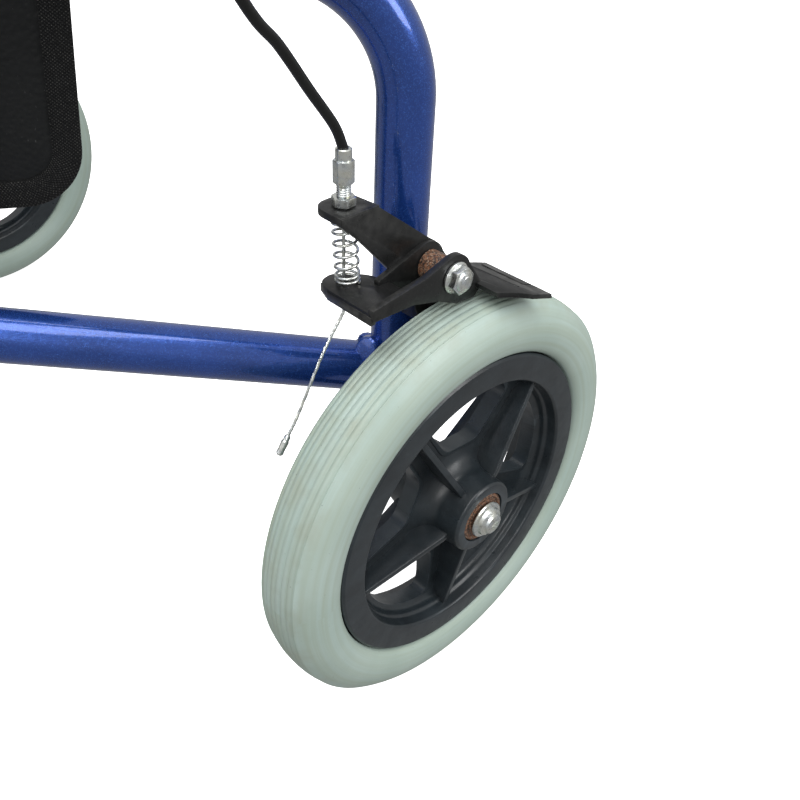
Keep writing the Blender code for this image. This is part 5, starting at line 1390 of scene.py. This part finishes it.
def edge_tape(sign):
    """Woven tape bound over the side panel's edge, down one side, along the bottom, up the other."""
    flat = []
    for k in range(12):
        flat.append((0.0, BAG_H - (BAG_H - BAG_CORNER) * k / 12))
    for k in range(13):
        a = math.pi / 2 * k / 12
        flat.append((BAG_CORNER * (1 - math.cos(a)), BAG_CORNER * (1 - math.sin(a))))
    for k in range(1, 12):
        flat.append((BAG_CORNER + (PANEL_LEN - 2 * BAG_CORNER) * k / 12, 0.0))
    for k in range(13):
        a = math.pi / 2 * (1 - k / 12)
        flat.append((PANEL_LEN - BAG_CORNER * (1 - math.cos(a)), BAG_CORNER * (1 - math.sin(a))))
    for k in range(1, 13):
        flat.append((PANEL_LEN, BAG_CORNER + (BAG_H - BAG_CORNER) * k / 12))
    face = Vector((PANEL_OUT.x, PANEL_OUT.y, 0))
    along = Vector((PANEL.x, PANEL.y, 0))
    path, across, normals = [], [], []
    count = len(flat)
    for i, (a, h) in enumerate(flat):
        before, after = flat[max(i - 1, 0)], flat[min(i + 1, count - 1)]
        go = Vector((after[0] - before[0], after[1] - before[1])).normalized()
        inward = Vector((-go.y, go.x)) if -go.y * (PANEL_LEN / 2 - a) + go.x * (BAG_H / 2 - h) > 0 \
            else Vector((go.y, -go.x))
        base = Vector((BAG_BACK.x, BAG_BACK.y, BAG_BOTTOM)) + along * a + Vector((0, 0, h))
        base += flare(h).to_3d() * (1 - a / PANEL_LEN)
        flat_dir = along * inward.x + Vector((0, 0, inward.y))
        swell = slack(base, 0.6)
        path.append(base + flat_dir * (TAPE_W / 2 - 0.0008) + face * (0.0016 + swell))
        across.append(flat_dir)
        normals.append(face)
    tape = ribbon("tape", path, across, TAPE_W, 0.0030, normals)
    if sign < 0:
        tape.data.transform(Matrix.Scale(-1, 4, (1, 0, 0)))
        tape.data.flip_normals()
    return tape


def mouth_hem():
    """Tape folded over the mouth."""
    half = bag_level(BAG_H)
    loop = half + [Vector((-p.x, p.y, p.z)) for p in reversed(half[1:-1])]
    middle = Vector((0, (BAG_BACK.y + BAG_FRONT.y) / 2, 0))
    path, across, normals = [], [], []
    for p in loop + loop[:2]:
        away = Vector((p.x - middle.x, p.y - middle.y, 0)).normalized()
        drop = 0.0040 * (1 - math.cos(p.x * 55)) * 0.5
        path.append(p + away * (slack(p) - 0.0009) - Vector((0, 0, drop + 0.0042)))
        across.append(Vector((0, 0, 1)))
        normals.append(away)
    return ribbon("hem", path, across, 0.0105, 0.0042, normals)


def strap_piece(s, share):
    """Webbing from the mouth to the loop on the upper rail."""
    rail_point = on_frame(s, rail_z(s) - 0.008, -TUBE_R - 0.0012)
    wall = BAG_BACK + flare(BAG_H) * (1 - share) + (BAG_FRONT - BAG_BACK) * share
    mouth = Vector((wall.x - PANEL_OUT.x * 0.0035, wall.y - PANEL_OUT.y * 0.0035, BAG_TOP - 0.026))
    rim = Vector((wall.x + PANEL_OUT.x * 0.0002, wall.y + PANEL_OUT.y * 0.0002, BAG_TOP + 0.003))
    path = smooth_path([mouth, mouth * 0.35 + rim * 0.65, rim,
                        rim * 0.5 + rail_point * 0.5 - Vector((0, 0, 0.003)),
                        rail_point], 8)
    ways = spun(path, PANEL_OUT.to_3d())
    along = Vector((PANEL.x, PANEL.y, 0))
    flats, tops = [], []
    for _, _, _, go in ways:
        flat = (along - go * along.dot(go)).normalized()
        flats.append(flat)
        tops.append(go.cross(flat).normalized())
    return ribbon("strap", path, flats, 0.0180, 0.0018, tops)


def rail_loop(s):
    """Webbing wrapped round the upper rail."""
    centre, ahead = on_frame(s, rail_z(s)), (FORWARD + Vector((0, 0, 1 / math.tan(BEND_ANGLE)))).normalized()
    top = (Vector((0, 0, 1)) - ahead * ahead.z).normalized()
    side = ahead.cross(top)
    path, flats, normals = [], [], []
    for k in range(41):
        a = math.tau * k / 40
        out = side * math.cos(a) + top * math.sin(a)
        path.append(centre + out * (TUBE_R + 0.0014))
        flats.append(ahead)
        normals.append(out)
    return ribbon("loop", path, flats, 0.0190, 0.0020, normals)


soft = [place(bag_shell(), "shopping_bag", "bag_vinyl", "column", ["bag"], angle=70),
        place(mouth_hem(), "bag_mouth_hem", "tape", "column", angle=80)]
soft += pair(edge_tape(1), "bag_edge_tape_{t}", "tape", "column", angle=80)
for label, s, share in (("back", 0.080, 0.15), ("front", 0.250, 0.75)):
    soft += pair(strap_piece(s, share), "bag_strap_" + label + "_{t}", "tape", "column", angle=80)
    pair(rail_loop(s), "rail_loop_" + label + "_{t}", "tape", "frame_{s}", angle=80)
for piece in soft:
    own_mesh(piece)

# ---------------------------------------------------------------- stage, light and camera
CAMERA_AT = Vector((0.441192, -0.096085, 0.374725))
CAMERA_AZ, CAMERA_EL, CAMERA_ROLL = math.radians(43.664), math.radians(36.994), math.radians(2.7)
LENS = 39.594


def look_axes(azimuth, elevation, roll):
    back = Vector((math.sin(azimuth) * math.cos(elevation), -math.cos(azimuth) * math.cos(elevation),
                   math.sin(elevation)))
    level = Vector((math.cos(azimuth), math.sin(azimuth), 0))
    upward = back.cross(level)
    right = level * math.cos(roll) + upward * math.sin(roll)
    return Matrix((right, back.cross(right), back)).transposed().to_4x4()


camera_data = bpy.data.cameras.new("camera")
camera_data.lens = LENS
camera_data.sensor_width = 36
camera_data.clip_start = 0.01
camera = bpy.data.objects.new("camera", camera_data)
camera.matrix_world = Matrix.Translation(CAMERA_AT) @ look_axes(CAMERA_AZ, CAMERA_EL, CAMERA_ROLL)
bpy.context.scene.collection.objects.link(camera)
bpy.context.scene.camera = camera

bm = bmesh.new()
bmesh.ops.create_grid(bm, x_segments=1, y_segments=1, size=12)
floor = link("studio_floor", bm)
floor.location.z = -0.0006
paper = Look("white_sweep", (0.93, 0.93, 0.93), 0.9, 0.0)
paper.set("Emission Color", (1.0, 1.0, 1.0))
paper.set("Emission Strength", 0.90)
floor.data.materials.append(paper.mat)
floor.visible_glossy = False
floor.visible_diffuse = False


def softbox(name, at, target, size, power, colour=(1, 1, 1)):
    data = bpy.data.lights.new(name, "AREA")
    data.shape = "RECTANGLE"
    data.size, data.size_y = size
    data.energy = power
    data.color = colour
    lamp = bpy.data.objects.new(name, data)
    lamp.location = at
    lamp.rotation_mode = "QUATERNION"
    lamp.rotation_quaternion = (Vector(target) - Vector(at)).to_track_quat("-Z", "Y")
    bpy.context.scene.collection.objects.link(lamp)
    return lamp


softbox("overhead", (0.3, -0.3, 2.2), (0.1, 0.0, 0.2), (1.6, 1.6), 34)
softbox("window_side", (1.9, 0.9, 1.2), (0.2, 0.1, 0.2), (0.8, 1.4), 20)
softbox("front_fill", (-0.8, -2.0, 1.1), (0.1, 0.0, 0.2), (1.4, 1.2), 5)
softbox("strip", (1.15, -1.00, 1.30), (0.15, -0.05, 0.20), (0.16, 1.20), 9)

world = bpy.data.worlds.new("studio")
bpy.context.scene.world = world
world.use_nodes = True
tree = world.node_tree
sky = tree.nodes["Background"]
direction = tree.nodes.new("ShaderNodeTexCoord")
height = tree.nodes.new("ShaderNodeSeparateXYZ")
rise = tree.nodes.new("ShaderNodeMapRange")
tree.links.new(direction.outputs["Generated"], height.inputs[0])
tree.links.new(height.outputs["Z"], rise.inputs["Value"])
for key, value in (("From Min", -0.25), ("From Max", 0.35), ("To Min", 0.37), ("To Max", 0.62)):
    rise.inputs[key].default_value = value
tree.links.new(rise.outputs["Result"], sky.inputs["Strength"])
sky.inputs["Color"].default_value = (1, 1, 1, 1)
bpy.context.scene.view_settings.view_transform = "Standard"
